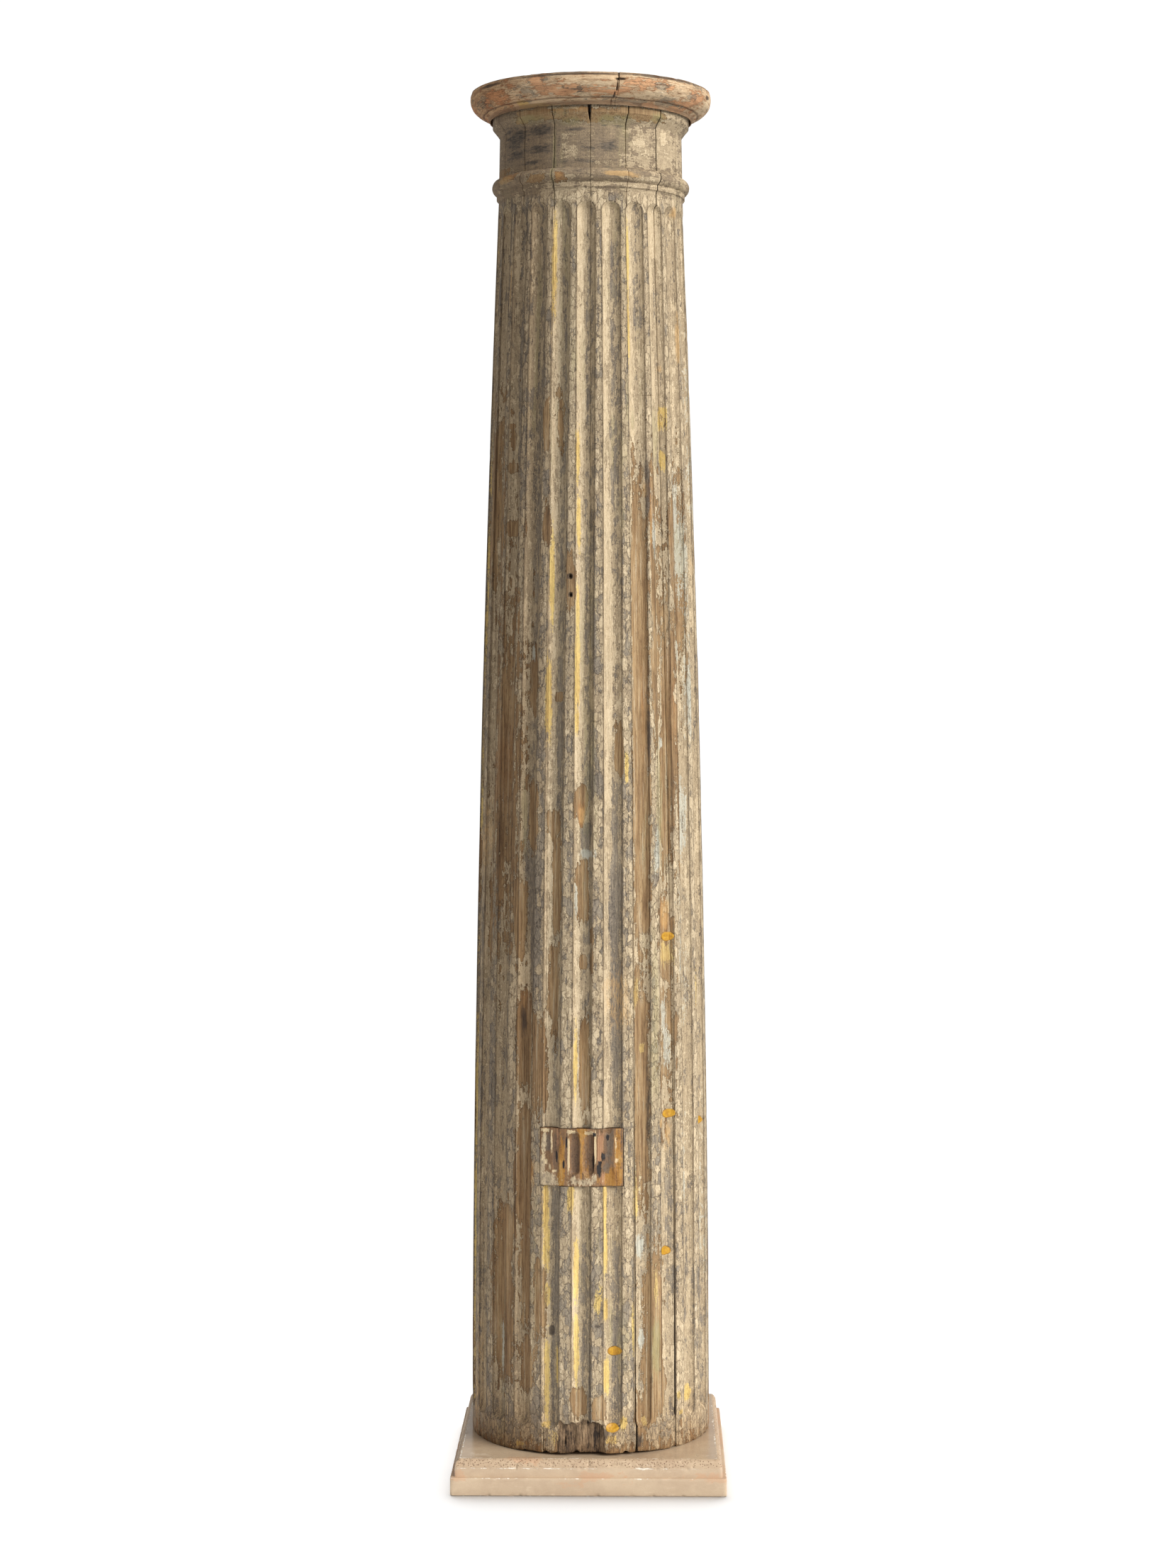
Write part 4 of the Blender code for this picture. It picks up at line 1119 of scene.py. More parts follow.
def foot_edge(azimuth):
    """Height of the worn lower edge above the plinth round the foot."""
    points = around(1.0, azimuth, azimuth * 0.0)
    front = np.exp(-((azimuth - math.radians(2.0)) / math.radians(34.0)) ** 4)
    ragged = smooth_noise(points, (0.12, 0.12, 1.0), 41, 3)
    chips = peaks(points, (0.05, 0.05, 1.0), 43, 2, 0.25)
    return FOOT_LIFT * front * (1.0 + 0.25 * ragged) + (0.3 + 0.3 * ragged) * MM + 5.0 * MM * chips


def break_edge(azimuth):
    """Height of the upper edge of the break at the foot, 0 beside it."""
    across = (azimuth - math.radians(BREAK_AZIMUTH)) * FOOT_RADIUS
    place = across / (BREAK_WIDTH / 2)
    wave = 3.0 * np.sin(4.7 * place + 0.6) + 1.6 * np.sin(12.6 * place) + 0.8 * np.sin(29.0 * place)
    inside = unit((1.0 - np.abs(place)) * 9.0)
    return inside * (BREAK_HEIGHT + wave * MM) - (1.0 - inside) * 9.0 * MM


def stave_face(azimuth, height, radius, board):
    """Distance of a stave's worn, fluted face, place across its flute, distance from an arris."""
    shaft = height <= SHAFT_HEIGHT
    cutter = flute_reach(height)
    distance = radius + FLUTE_OFFSET
    pitch = 2 * math.pi / FLUTE_COUNT
    middle = flute_middle(0, height)
    off = (azimuth - middle + pitch / 2) % pitch - pitch / 2
    sideways = distance * np.sin(off)
    room = cutter ** 2 - sideways ** 2
    flute = distance * np.cos(off) - np.sqrt(np.maximum(room, 0.0))
    cut = shaft & (room > 0.0) & (flute < radius)
    face = np.where(cut, flute, radius)
    half = np.sqrt(np.maximum(cutter ** 2 - FLUTE_OFFSET ** 2, 0.0))
    across = np.where(shaft & (half > 0.001), radius * off / np.maximum(half, 0.001), 3.0)
    edge = np.abs(np.abs(across) - 1.0) * np.maximum(half, 0.001)

    points = around(radius, azimuth, height)
    chips = smooth_noise(points, (0.014, 0.014, 0.034), 11, 3)
    wear = np.maximum(chips - 0.42, 0.0) * 2.6 * MM + 0.18 * MM
    face = face - np.where(shaft, wear * np.exp(-(edge / (2.0 * MM)) ** 2), 0.0)
    swell = smooth_noise(points, (0.02, 0.02, 0.2), 13, 2)
    fibre = smooth_noise(points, (0.0035, 0.0035, 0.09), 17, 2)
    dents = peaks(points, (0.02, 0.02, 0.03), 19, 2, 0.62)
    face = face + swell * 0.28 * MM + fibre * 0.13 * MM - dents * 1.4 * MM
    offset = float(smooth_noise(np.array([[board * 1.37, 3.3, 0.5]]), (1, 1, 1), 5)[0])
    lower = unit(1.0 - height / SHAFT_HEIGHT)
    face = face + offset * 0.55 * MM * lower
    return face, across, edge


def pocket_depth(azimuth, height, radius, face):
    """Distance from the axis of a stave's face, sunk where the repair and filler are let in."""
    middle = math.radians(PATCH_AZIMUTH)
    centre = float(shaft_radius(PATCH_BOTTOM + PATCH_HEIGHT / 2))
    sideways = radius * np.sin(azimuth - middle)
    within = (np.abs(sideways) < PATCH_WIDTH / 2 + JOINT_GAP) & (np.cos(azimuth - middle) > 0.0)
    within &= np.abs(height - PATCH_BOTTOM - PATCH_HEIGHT / 2) < PATCH_HEIGHT / 2 + JOINT_GAP
    floor = (centre - PATCH_DEPTH - JOINT_GAP) / np.cos(azimuth - middle)
    face = np.where(within, np.minimum(face, floor), face)
    for azimuth_of, height_of in PLUG_PLACES:
        across = (azimuth - math.radians(azimuth_of)) * radius / (PLUG_WIDTH / 2)
        along = (height - height_of) / (PLUG_HEIGHT / 2)
        face = face - unit((1.0 - np.hypot(across, along)) * 5.0) * PLUG_SINK
    return face


def wounds(azimuth, height, radius, face):
    """Cut the nail holes, the knot, the cross crack and the broken foot into the face."""
    holes = ((NAIL_HOLES, NAIL_HOLE_DEPTH), (KNOTS, KNOT_DEPTH), (FOOT_SPLITS, FOOT_SPLIT_DEPTH))
    for places, depth in holes:
        for x, y, half_width, half_height in places:
            middle, level, scale = on_column(x, y)
            across = (azimuth - middle) * radius / (half_width * scale)
            along = (height - level) / (half_height * scale)
            face = face - depth * unit(1.4 - np.hypot(across, along))
    middle, level, scale = on_column(*CROSS_CRACK_PLACE)
    across = np.abs(azimuth - middle) * radius / (CROSS_CRACK_HALF * scale)
    slope = (azimuth - middle) * radius * 0.04
    line = np.exp(-((height - level - slope) / (0.7 * MM)) ** 2)
    face = face - CROSS_CRACK_DEPTH * line * unit((1.0 - across) * 4.0)

    points = around(radius, azimuth, height)
    edge = break_edge(azimuth)
    broken = unit((edge - height) / (1.3 * MM))
    rot = smooth_noise(points, (0.006, 0.006, 0.03), 23, 3) * 1.8
    rot = rot + smooth_noise(points, (0.02, 0.02, 0.02), 29, 2) * 1.6
    across = (azimuth - math.radians(BREAK_AZIMUTH)) * FOOT_RADIUS / (BREAK_WIDTH / 2)
    shelf = BREAK_DEPTH * np.interp(across, [-1.0, -0.35, 0.75, 1.0], [0.1, 0.75, 1.0, 0.3])
    floor = FOOT_RADIUS - shelf + rot * MM
    return np.where(broken > 0.0, face + (np.minimum(floor, face) - face) * broken, face)


def joint_grime(joints, height):
    """How dark the two sides of a stave's face are beside their joints."""
    dark = np.full(len(height), -1.0)
    for joint, beside in joints:
        opening = joint_opening(joint, height)
        dark = np.where(beside, unit(opening / (1.4 * MM)) * 1.1 - 0.5, dark)
    return dark


def stave_fields(obj, azimuth, height, radius, across, edge, inside, seam_dark):
    """Store on a stave where each coat of paint and each stain lies, and its painted light and shade.
    """
    turned = (azimuth + math.pi) % (2 * math.pi) - math.pi

    def seen(marks):
        return marks_field(turned, height, radius, marks)

    def with_back(field, scattered):
        return np.maximum(field, hidden * scattered - (1.0 - hidden))

    points = around(radius, azimuth, height)
    patches = smooth_noise(points, (0.05, 0.05, 0.3), 31, 2)
    others = smooth_noise(points, (0.06, 0.06, 0.25), 37, 2)
    degrees = np.degrees(turned)
    hidden = blend(np.abs(degrees), 72.0, 12.0)

    shaft = height < SHAFT_HEIGHT
    in_flute = (np.abs(across) < 1.0) & shaft
    # Across each flute the left wall, facing the key light, leans to cream and the right wall to slate:
    # the paint's own tone with painted light and shade.
    steps = [-1.0, -0.9, -0.45, -0.1, 0.1, 0.6, 0.75, 0.9, 1.0]
    paint_and_light_tones = [0.1, 0.65, 0.8, 0.2, -0.5, -0.45, -0.25, -0.1, -0.4]
    right = blend(degrees, 30.0, 25.0)
    left = blend(-degrees, 18.0, 12.0)
    low = unit(1.0 - height / 1.3)
    contrast = (1.0 - 0.45 * low) * (1.0 - 0.5 * left) * (1.0 - 0.35 * right)
    lay = np.where(in_flute, np.interp(across, steps, paint_and_light_tones) * contrast, 0.0)
    # The right side leans to cream and the left side to slate: painted side light and shade with the
    # paint's own tone.
    lay = lay + 0.35 * right + others * 0.25 - 0.25 * left
    land = (shaft & ~in_flute).astype(float)
    neck = blend(height - SHAFT_HEIGHT, -12.0 * MM, 10.0 * MM)

    foot = unit(1.0 - height / (95.0 * MM))
    bare = np.maximum(with_back(seen(BARE_WOOD), others * 0.9 - 0.35), foot * 0.75 - 0.7)
    bare = np.where(inside, 1.0, bare)
    slate = with_back(seen(SLATE_COAT), patches * 0.8 - 0.3)
    cream = with_back(seen(CREAM_COAT), others * 0.6 - 0.4)
    thin = unit(1.0 - np.abs(across + 0.85) / 0.2) * in_flute
    yellow = np.maximum(seen(YELLOW_COAT), hidden * (thin * 0.8 + patches * 0.7) - 0.55)
    add_field(obj, "coats", (bare, slate, cream, yellow))

    dark = np.maximum(seen(DARK_STAIN), seam_dark)
    ochre = np.maximum(seen(OCHRE_STAIN), others * 0.7 - 0.35)
    green = np.maximum(seen(GREEN_CAST), patches * 0.8 - 0.5)
    edge_coat = right * (patches * 0.9) - 0.7 * (1.0 - right) - 0.35
    blue = np.maximum(
        seen(BLUE_WHITE_COAT), np.where(height < SHAFT_HEIGHT - 0.2, edge_coat, -1.0))
    add_field(obj, "stains", (dark, ochre, green, blue))

    # Darker on the left side: painted shade away from the key light, with some grime; and darker
    # towards the foot.
    grime_and_side_shade = 0.05 + 0.3 * left + 0.6 * foot
    # Closeness to a flute arris, where a painted shadow line is drawn.
    arris = np.where(shaft, np.exp(-(edge / (1.6 * MM)) ** 2), 0.0)
    rot = np.where(inside, 0.0, unit((break_edge(turned) - height) / (2.0 * MM)))
    add_field(obj, "form", (grime_and_side_shade, arris, inside.astype(float), rot))
    add_field(obj, "lay", (lay, neck, land, low))


def fine_places(middle):
    """Heights of a stave's fine work, how far it reaches and the step between rows there."""
    fine = []
    spots = [(hole[:2], 5.0, 1.3) for hole in NAIL_HOLES]
    spots += [(knot[:2], 8.0, 1.3) for knot in KNOTS]
    spots.append((CROSS_CRACK_PLACE, 3.0, 0.6))
    for (x, y), reach, step in spots:
        azimuth, height, scale = on_column(x, y)
        if abs(azimuth - middle) < math.radians(14.0):
            fine.append((height, reach * MM, step * MM))
    for azimuth, height in PLUG_PLACES:
        if abs(math.radians(azimuth) - middle) < math.radians(16.0):
            fine.append((height, 9.0 * MM, 1.6 * MM))
    if abs(middle - math.radians(BREAK_AZIMUTH)) < math.radians(24.0):
        fine.append((BREAK_HEIGHT, 6.0 * MM, 1.0 * MM))
    return fine


def add_stave(index, material):
    """Model one stave: fluted face, mouldings, sawn sides and flat back."""
    turned = (STAVE_TURN + STAVE_ANGLE * (index + 0.5) + 180.0) % 360.0 - 180.0
    middle = math.radians(turned)
    seen = abs(turned) < SEEN_TURN
    columns = STAVE_COLUMNS if seen else STAVE_COLUMNS_HIDDEN
    fine = [(SHAFT_HEIGHT, 34.0 * MM, 2.4 * MM), (30.0 * MM, 36.0 * MM, 2.6 * MM)]
    if seen:
        fine += fine_places(middle)
    rows = [(float(shaft_radius(height)), height)
            for height in shaft_heights(STAVE_STEP if seen else STAVE_STEP_HIDDEN, fine)]
    if abs(middle - math.radians(PATCH_AZIMUTH)) < math.radians(34.0):
        rows = add_patch_rows(rows)
    rows += moulding_rows()

    obj, column, row = add_sheet(f"stave_{index + 1:02d}_worn", columns, len(rows))
    inner = np.linspace(0.022, 0.978, columns - 4)
    shares = np.concatenate([[0.0, 0.008], inner, [0.992, 1.0]])
    azimuths = np.empty((len(rows), columns))
    half_angle = math.radians(STAVE_ANGLE / 2)
    levels = np.array([height for radius, height in rows])
    edges = []
    for joint, side in ((index, 1.0), (index + 1, -1.0)):
        wander = np.stack([levels * 0.0 + (joint % STAVE_COUNT) * 3.7, levels * 0.0, levels], axis=1)
        opening = joint_opening(joint, levels) + JOINT_GAP
        ragged = smooth_noise(wander, (1.0, 1.0, 0.02), 47, 2)
        opening = opening * (1.0 + 0.25 * ragged) + 0.12 * MM * (1.0 + ragged)
        bend = smooth_noise(wander, (1.0, 1.0, 0.03), 49, 3) * 1.3 * MM
        bend = bend * np.clip((levels - SHAFT_HEIGHT + 0.2) / 0.2, 0.15, 1.0)
        edges.append((middle - side * half_angle, side * opening / 2 + bend))
    for number, (radius, height) in enumerate(rows):
        low = edges[0][0] + edges[0][1][number] / radius
        high = edges[1][0] + edges[1][1][number] / radius
        targets = []
        if height <= SHAFT_HEIGHT:
            targets = sorted(flute_arrises(height, low, high) + patch_edges(low, high, height))
        azimuths[number] = column_azimuths(shares, low, high, targets)

    radii = np.array([radius for radius, height in rows])[row]
    heights = levels[row]
    azimuth = azimuths[row, column]
    face, across, edge = stave_face(azimuth, heights, radii, index)
    ease = np.minimum(column, columns - 1 - column)
    face = face - np.where(ease == 0, 0.9 * MM, np.where(ease == 1, 0.25 * MM, 0.0))
    face = pocket_depth(azimuth, heights, radii, face)
    face = wounds(azimuth, heights, radii, face)
    lift = foot_edge(azimuth) * unit(1.0 - heights / (26.0 * MM))
    face = face - unit(1.0 - heights / (5.0 * MM)) ** 2 * 1.5 * MM
    place_vertices(obj, around(face, azimuth, heights + lift + FOOT_LEVEL))

    new, source = extrude_rim(obj)
    places = vertex_places(obj)
    side = np.where(column[source] == 0, -1.0, np.where(column[source] == columns - 1, 1.0, 0.0))
    angle = np.where(side == 0.0, azimuth[source], middle + side * half_angle)
    rim_height = levels[row[source]]
    distance = back_distance(rim_height)
    sideways = distance * np.tan(angle - middle) - side * 0.02 * MM
    flat_back(places, new, distance, sideways, middle)
    places[new, 2] = rim_height + FOOT_LEVEL
    close_back(obj, places)

    def widen(values, filler):
        return np.concatenate([values, np.full(len(new), filler)])

    all_azimuth = np.concatenate([azimuth, angle])
    all_height = np.concatenate([heights, rim_height])
    inside = widen(np.zeros(len(azimuth)), 1.0) > 0.5
    joints = ((index, widen(column, -1.0) == 0), (index + 1, widen(column, -1.0) == columns - 1))
    stave_fields(obj, all_azimuth, all_height, np.concatenate([radii, distance]),
                 widen(across, 3.0), widen(edge, 1.0), inside, joint_grime(joints, all_height))
    return settle(obj, [f"stave_{index + 1:02d}"], material)


def add_patch_rows(rows):
    """Put close pairs of rows at the top and bottom edges of the repair's pocket."""
    kept = []
    edges = (PATCH_BOTTOM - JOINT_GAP, PATCH_BOTTOM + PATCH_HEIGHT + JOINT_GAP)
    for radius, height in rows:
        if min(abs(height - edge) for edge in edges) > 1.2 * MM:
            kept.append((radius, height))
    for edge in edges:
        for step in (-1.2, -0.1, 0.1, 1.2):
            height = edge + step * MM
            kept.append((float(shaft_radius(height)), height))
    return sorted(kept, key=lambda pair: pair[1])


def add_patch(material):
    """Model the block let into the front, with its own hollows and stained strips."""
    columns = PATCH_COLUMNS
    rows = PATCH_ROWS
    obj, column, row = add_sheet("let_in_patch_worn", columns, rows)
    middle = math.radians(PATCH_AZIMUTH)
    centre = float(shaft_radius(PATCH_BOTTOM + PATCH_HEIGHT / 2))
    sideways = (column / (columns - 1) - 0.5) * (PATCH_WIDTH - 0.5 * MM)
    height = PATCH_BOTTOM + 0.4 * MM + (PATCH_HEIGHT - 0.9 * MM) * row / (rows - 1)
    radius = shaft_radius(height)
    azimuth = middle + np.arcsin(sideways / radius)
    points = np.stack([sideways, sideways * 0.0, height], axis=1)
    face = radius - 0.4 * MM
    for x, y, half_width, half_height in PATCH_HOLLOWS:
        spot, level, scale = on_column(x, y)
        across = (azimuth - spot) * radius / (half_width * scale)
        beyond = np.maximum(np.abs(height - level) - (half_height - half_width) * scale, 0.0)
        away = np.hypot(across, beyond / (half_width * scale))
        face = face - PATCH_HOLLOW_DEPTH * np.sqrt(np.maximum(1.0 - away ** 2, 0.0))
    for x, width, deep in PATCH_GROOVES:
        spot, level, scale = on_column(x, PATCH_GROOVE_Y)
        across = np.abs(azimuth - spot) * radius / (width * scale)
        face = face - deep * unit(1.3 - across) ** 0.7
    face = face + smooth_noise(points, (0.004, 1.0, 0.04), 51, 3) * 0.35 * MM
    face = face - peaks(points, (0.012, 1.0, 0.012), 53, 3, 0.5) * 2.0 * MM
    rim = np.minimum(np.minimum(column, columns - 1 - column) * 1.27,
                     np.minimum(row, rows - 1 - row) * 1.29)
    ragged = smooth_noise(points, (0.008, 1.0, 0.008), 57, 2)
    face = face - np.clip(1.2 - rim, 0.0, 1.2) * (0.6 + 0.5 * ragged) * MM
    place_vertices(obj, around(face, azimuth, height + FOOT_LEVEL))
    new, source = extrude_rim(obj)
    places = vertex_places(obj)
    edge = places[new]
    off = np.arctan2(edge[:, 0], -edge[:, 1]) - middle
    outer = np.hypot(edge[:, 0], edge[:, 1])
    flat_back(places, new, centre - PATCH_DEPTH, outer * np.sin(off), middle)
    close_back(obj, places)

    def strip(marks):
        field = marks_field(azimuth, height, radius, marks)
        return np.concatenate([field, np.full(len(new), -1.0)])

    strips = [strip(marks) for marks in (PATCH_AMBER, PATCH_PLUM, PATCH_PALE, PATCH_SALMON)]
    add_field(obj, "strips", strips)
    edge_value = np.concatenate([np.exp(-(rim / 1.5) ** 2), np.ones(len(new))])
    coats = [strip(marks) for marks in (PATCH_SOOT, PATCH_CREAM, PATCH_GREY)]
    add_field(obj, "marks", (*coats, edge_value))
    return settle(obj, ["let_in_patch"], material)


def add_plug(number, azimuth_of, height_of, material):
    """Model one spot of filler, pressed in and smeared over its edges."""
    obj, column, row = add_sheet(f"filler_plug_{number}_worn", PLUG_COLUMNS, PLUG_ROWS)
    spread = column / (PLUG_COLUMNS - 1) * 2.0 - 1.0
    rise = row / (PLUG_ROWS - 1) * 2.0 - 1.0
    across = spread * np.sqrt(1.0 - rise ** 2 / 2.0)
    along = rise * np.sqrt(1.0 - spread ** 2 / 2.0)
    away = np.hypot(across, along)
    angle = np.arctan2(along, across)
    ring = np.stack([np.cos(angle), np.sin(angle), angle * 0.0 + number * 5.0], axis=1)
    ragged = 1.0 + 0.11 * smooth_noise(ring, (0.4, 0.4, 1.0), 61, 3)
    width = PLUG_WIDTH / 2 * 1.02 * ragged
    tall = PLUG_HEIGHT / 2 * 1.05 * ragged
    height = height_of + along * tall
    radius = shaft_radius(height)
    azimuth = math.radians(azimuth_of) + across * width / radius
    face = stave_face(azimuth, height, radius, 0)[0]
    plain = float(shaft_radius(height_of))
    face = np.minimum(face * 0.75 + (plain - PLUG_FACE_DEPTH) * 0.25, radius - 0.5 * MM)
    points = np.stack([across * width, along * tall, across * 0.0 + number], axis=1)
    face = face + smooth_noise(points, (0.006, 0.004, 1.0), 63, 2) * 0.3 * MM
    face = face - 0.9 * MM * unit((away - 0.88) / 0.12) ** 2
    place_vertices(obj, around(face, azimuth, height + FOOT_LEVEL))
    new, source = extrude_rim(obj)
    places = vertex_places(obj)
    rim = places[new]
    middle = math.radians(azimuth_of)
    off = np.arctan2(rim[:, 0], -rim[:, 1]) - middle
    side = np.hypot(rim[:, 0], rim[:, 1]) * np.sin(off) * PLUG_BACK_SHARE
    flat_back(places, new, plain - PLUG_BACK_DEPTH, side, middle)
    rise = (rim[:, 2] - FOOT_LEVEL - height_of) * PLUG_BACK_SHARE
    places[new, 2] = rise + FOOT_LEVEL + height_of
    close_back(obj, places)
    rim_value = np.concatenate([away, np.ones(len(new))])
    add_field(obj, "plug", (0.0, rim_value))
    return settle(obj, [f"filler_plug_{number}"], material)


def arc(centre, radii, start, end, count):
    """Points along an ellipse in the profile plane."""
    angles = np.linspace(start, end, count)
    return [(centre[0] + radii[0] * math.cos(angle), centre[1] + radii[1] * math.sin(angle))
            for angle in angles]


def straight(first, second, count):
    """Points along a line, without its ends."""
    shares = np.linspace(0.0, 1.0, count + 2)[1:-1]
    return [(first[0] + (second[0] - first[0]) * share, first[1] + (second[1] - first[1]) * share)
            for share in shares]


def ring_outline():
    """Closed outline of the capital ring with enough points to carry wear."""
    bulge = RING_TOP - RING_BULGE_DROP
    ridge = RING_TOP - RING_RIDGE_DROP
    lip = RING_TOP - RING_LIP_DROP
    middle = RING_BULGE_RADIUS - RING_REACH
    end = -math.acos((RING_RIDGE_RADIUS - middle) / RING_REACH)
    depth = (ridge - bulge) / math.sin(end)
    start_x = RING_RIDGE_RADIUS - RING_RIDGE_EDGE
    top_y = ridge - RING_RIDGE_EDGE
    seat = STAVE_TOP + JOINT_GAP
    corner = (RING_ARRIS_RADIUS, RING_TOP)
    points = [(RING_BORE_RADIUS, RING_TOP)]
    points += straight(points[-1], corner, 12)
    points.append((RING_ARRIS_RADIUS - 0.9 * MM, RING_TOP))
    points.append((RING_ARRIS_RADIUS, RING_TOP - 0.9 * MM))
    shoulder = ((RING_ARRIS_RADIUS + RING_BULGE_RADIUS) / 2 + RING_BULGE_DROP / 24,
                RING_TOP - RING_BULGE_DROP / 2)
    points += straight(points[-1], shoulder, 3) + [shoulder]
    points += straight(shoulder, (RING_BULGE_RADIUS, bulge), 3)
    points += arc((middle, bulge), (RING_REACH, depth), 0.0, end, 24)
    points += arc((start_x, lip), (RING_LIP_RADIUS - start_x, top_y - lip), math.pi / 2, 0.0, 9)
    points += [(RING_REBATE_RADIUS, lip)]
    points += straight(points[-1], (RING_REBATE_RADIUS, seat), 5) + [(RING_REBATE_RADIUS, seat)]
    points += straight(points[-1], (RING_BORE_RADIUS, seat), 4) + [(RING_BORE_RADIUS, seat)]
    points += straight(points[-1], (RING_BORE_RADIUS, RING_TOP), 3)
    return points


def add_ring_segment(index, material):
    """Model one mitred segment of the capital ring by spinning its outline."""
    outline = ring_outline()
    steps = RING_STEPS_FRONT if index == RING_COUNT - 1 else RING_STEPS
    deselect_everything()
    bpy.ops.mesh.primitive_circle_add(vertices=len(outline), radius=0.1, fill_type="NOTHING")
    obj = bpy.context.object
    obj.name = f"capital_segment_{index + 1}_worn"
    obj.data.name = obj.name
    ends = [math.radians(RING_TURN + 360.0 * joint / RING_COUNT) for joint in (index, index + 1)]
    gap = 0.35 * MM / RING_BULGE_RADIUS
    start = ends[0] + gap
    swing = ends[1] - ends[0] - 2 * gap
    flat = np.array([(radius * math.sin(start), -radius * math.cos(start), height + FOOT_LEVEL)
                     for radius, height in outline])
    place_vertices(obj, flat)
    bpy.ops.object.mode_set(mode="EDIT")
    bpy.ops.mesh.select_all(action="SELECT")
    bpy.ops.mesh.spin(
        steps=steps, dupli=False, angle=swing, use_auto_merge=False, center=(0.0, 0.0, 0.0),
        axis=(0.0, 0.0, 1.0))
    bpy.ops.object.mode_set(mode="OBJECT")
    select_open_edges()
    bpy.ops.mesh.fill_holes(sides=0)
    point_outwards()
    places = vertex_places(obj)
    azimuth = np.arctan2(places[:, 0], -places[:, 1])
    radius = np.hypot(places[:, 0], places[:, 1])
    height = places[:, 2] - FOOT_LEVEL
    off = (azimuth - start + math.pi) % (2 * math.pi) - math.pi
    end_away = np.minimum(np.abs(off), np.abs(swing - off)) * radius
    outer = unit((radius - RING_REBATE_RADIUS - 1.0 * MM) / (6.0 * MM))
    swell = smooth_noise(places, (0.03, 0.03, 0.012), 71, 2)
    fibre = smooth_noise(places, (0.02, 0.02, 0.0035), 73, 2)
    chips = peaks(places, (0.016, 0.016, 0.01), 79, 3, 0.45)
    dents = peaks(places, (0.03, 0.03, 0.012), 83, 2, 0.6)
    wear = swell * 0.45 * MM + fibre * 0.2 * MM - chips * 2.2 * MM - dents * 2.5 * MM
    wear = wear - 0.5 * MM * unit(1.0 - end_away / (1.4 * MM))
    wear = wear - ring_crack(azimuth, height) * RING_CRACK_DEPTH
    slot_azimuth, slot_height, scale = on_column(*RING_SLOT, RING_BULGE_RADIUS)
    slot = np.hypot((azimuth - slot_azimuth) * radius / (RING_SLOT_HALF[0] * scale),
                    (height - slot_height) / (RING_SLOT_HALF[1] * scale))
    wear = wear - RING_SLOT_DEPTH * unit(1.5 - slot)
    moved = radius + np.minimum(wear, 0.4 * MM) * outer
    lower = unit((RING_TOP - height - 30.0 * MM) / (10.0 * MM))
    places[:, 0] = moved * np.sin(azimuth)
    places[:, 1] = -moved * np.cos(azimuth)
    places[:, 2] += lower * swell * 0.4 * MM * outer
    top = height > RING_TOP - 0.4 * MM
    places[:, 2] -= np.where(top, np.abs(swell) * 0.5 * MM + chips * 1.5 * MM, 0.0)
    place_vertices(obj, places)
    ring_fields(obj, azimuth, height, radius, outer)
    return settle(obj, [f"capital_segment_{index + 1}"], material, 42.0)


def ring_crack(azimuth, height):
    """Closeness, 0 to 1, to the crack that runs down the front of the ring."""
    places = [on_column(x, y, RING_BULGE_RADIUS)[:2] for x, y in RING_CRACK]
    places.sort(key=lambda place: place[1])
    line = np.interp(height, [place[1] for place in places], [place[0] for place in places])
    away = np.abs(azimuth - line) * RING_BULGE_RADIUS
    low = places[0][1] - 14.0 * MM
    return unit(1.6 - away / (1.1 * MM)) * (height > low)


def ring_fields(obj, azimuth, height, radius, outer):
    """Store on a ring segment where its coats and stains lie, and its painted shade."""
    points = around(radius, azimuth, height)
    cloud = smooth_noise(points, (0.07, 0.07, 0.03), 87, 2)
    other = smooth_noise(points, (0.09, 0.09, 0.02), 89, 2)
    degrees = np.degrees(azimuth)
    hidden = blend(np.abs(degrees), 76.0, 10.0)

    def seen(marks):
        return marks_field(azimuth, height, radius, marks, RING_BULGE_RADIUS)

    bare = np.maximum(seen(RING_BARE), hidden * cloud - 0.4)
    slate = np.maximum(seen(RING_SLATE), other * 0.8 - 0.45)
    cream = np.maximum(seen(RING_CREAM), -cloud * 0.6 - 0.5)
    ochre = np.maximum(seen(RING_OCHRE), hidden * other - 0.8)
    add_field(obj, "coats", (bare, slate, cream, ochre))
    rim = unit(1.0 - (RING_TOP - height) / (5.0 * MM))
    # Height about the ridge under the ovolo, for the painted shade line there.
    cove = unit((RING_TOP - height - RING_RIDGE_DROP) / (5.0 * MM) + 0.5)
    dark = np.maximum(seen(RING_DARK), rim * 0.55 + other * 0.25 - 0.1)
    dark = np.maximum(dark, ring_crack(azimuth, height) * 1.4 - 0.4)
    # Darker on the left side: painted shade away from the key light, with some grime.
    grime_and_side_shade = 0.1 + 0.7 * blend(-degrees, 25.0, 25.0)
    add_field(obj, "stains", (dark, grime_and_side_shade, 1.0 - outer, cove))


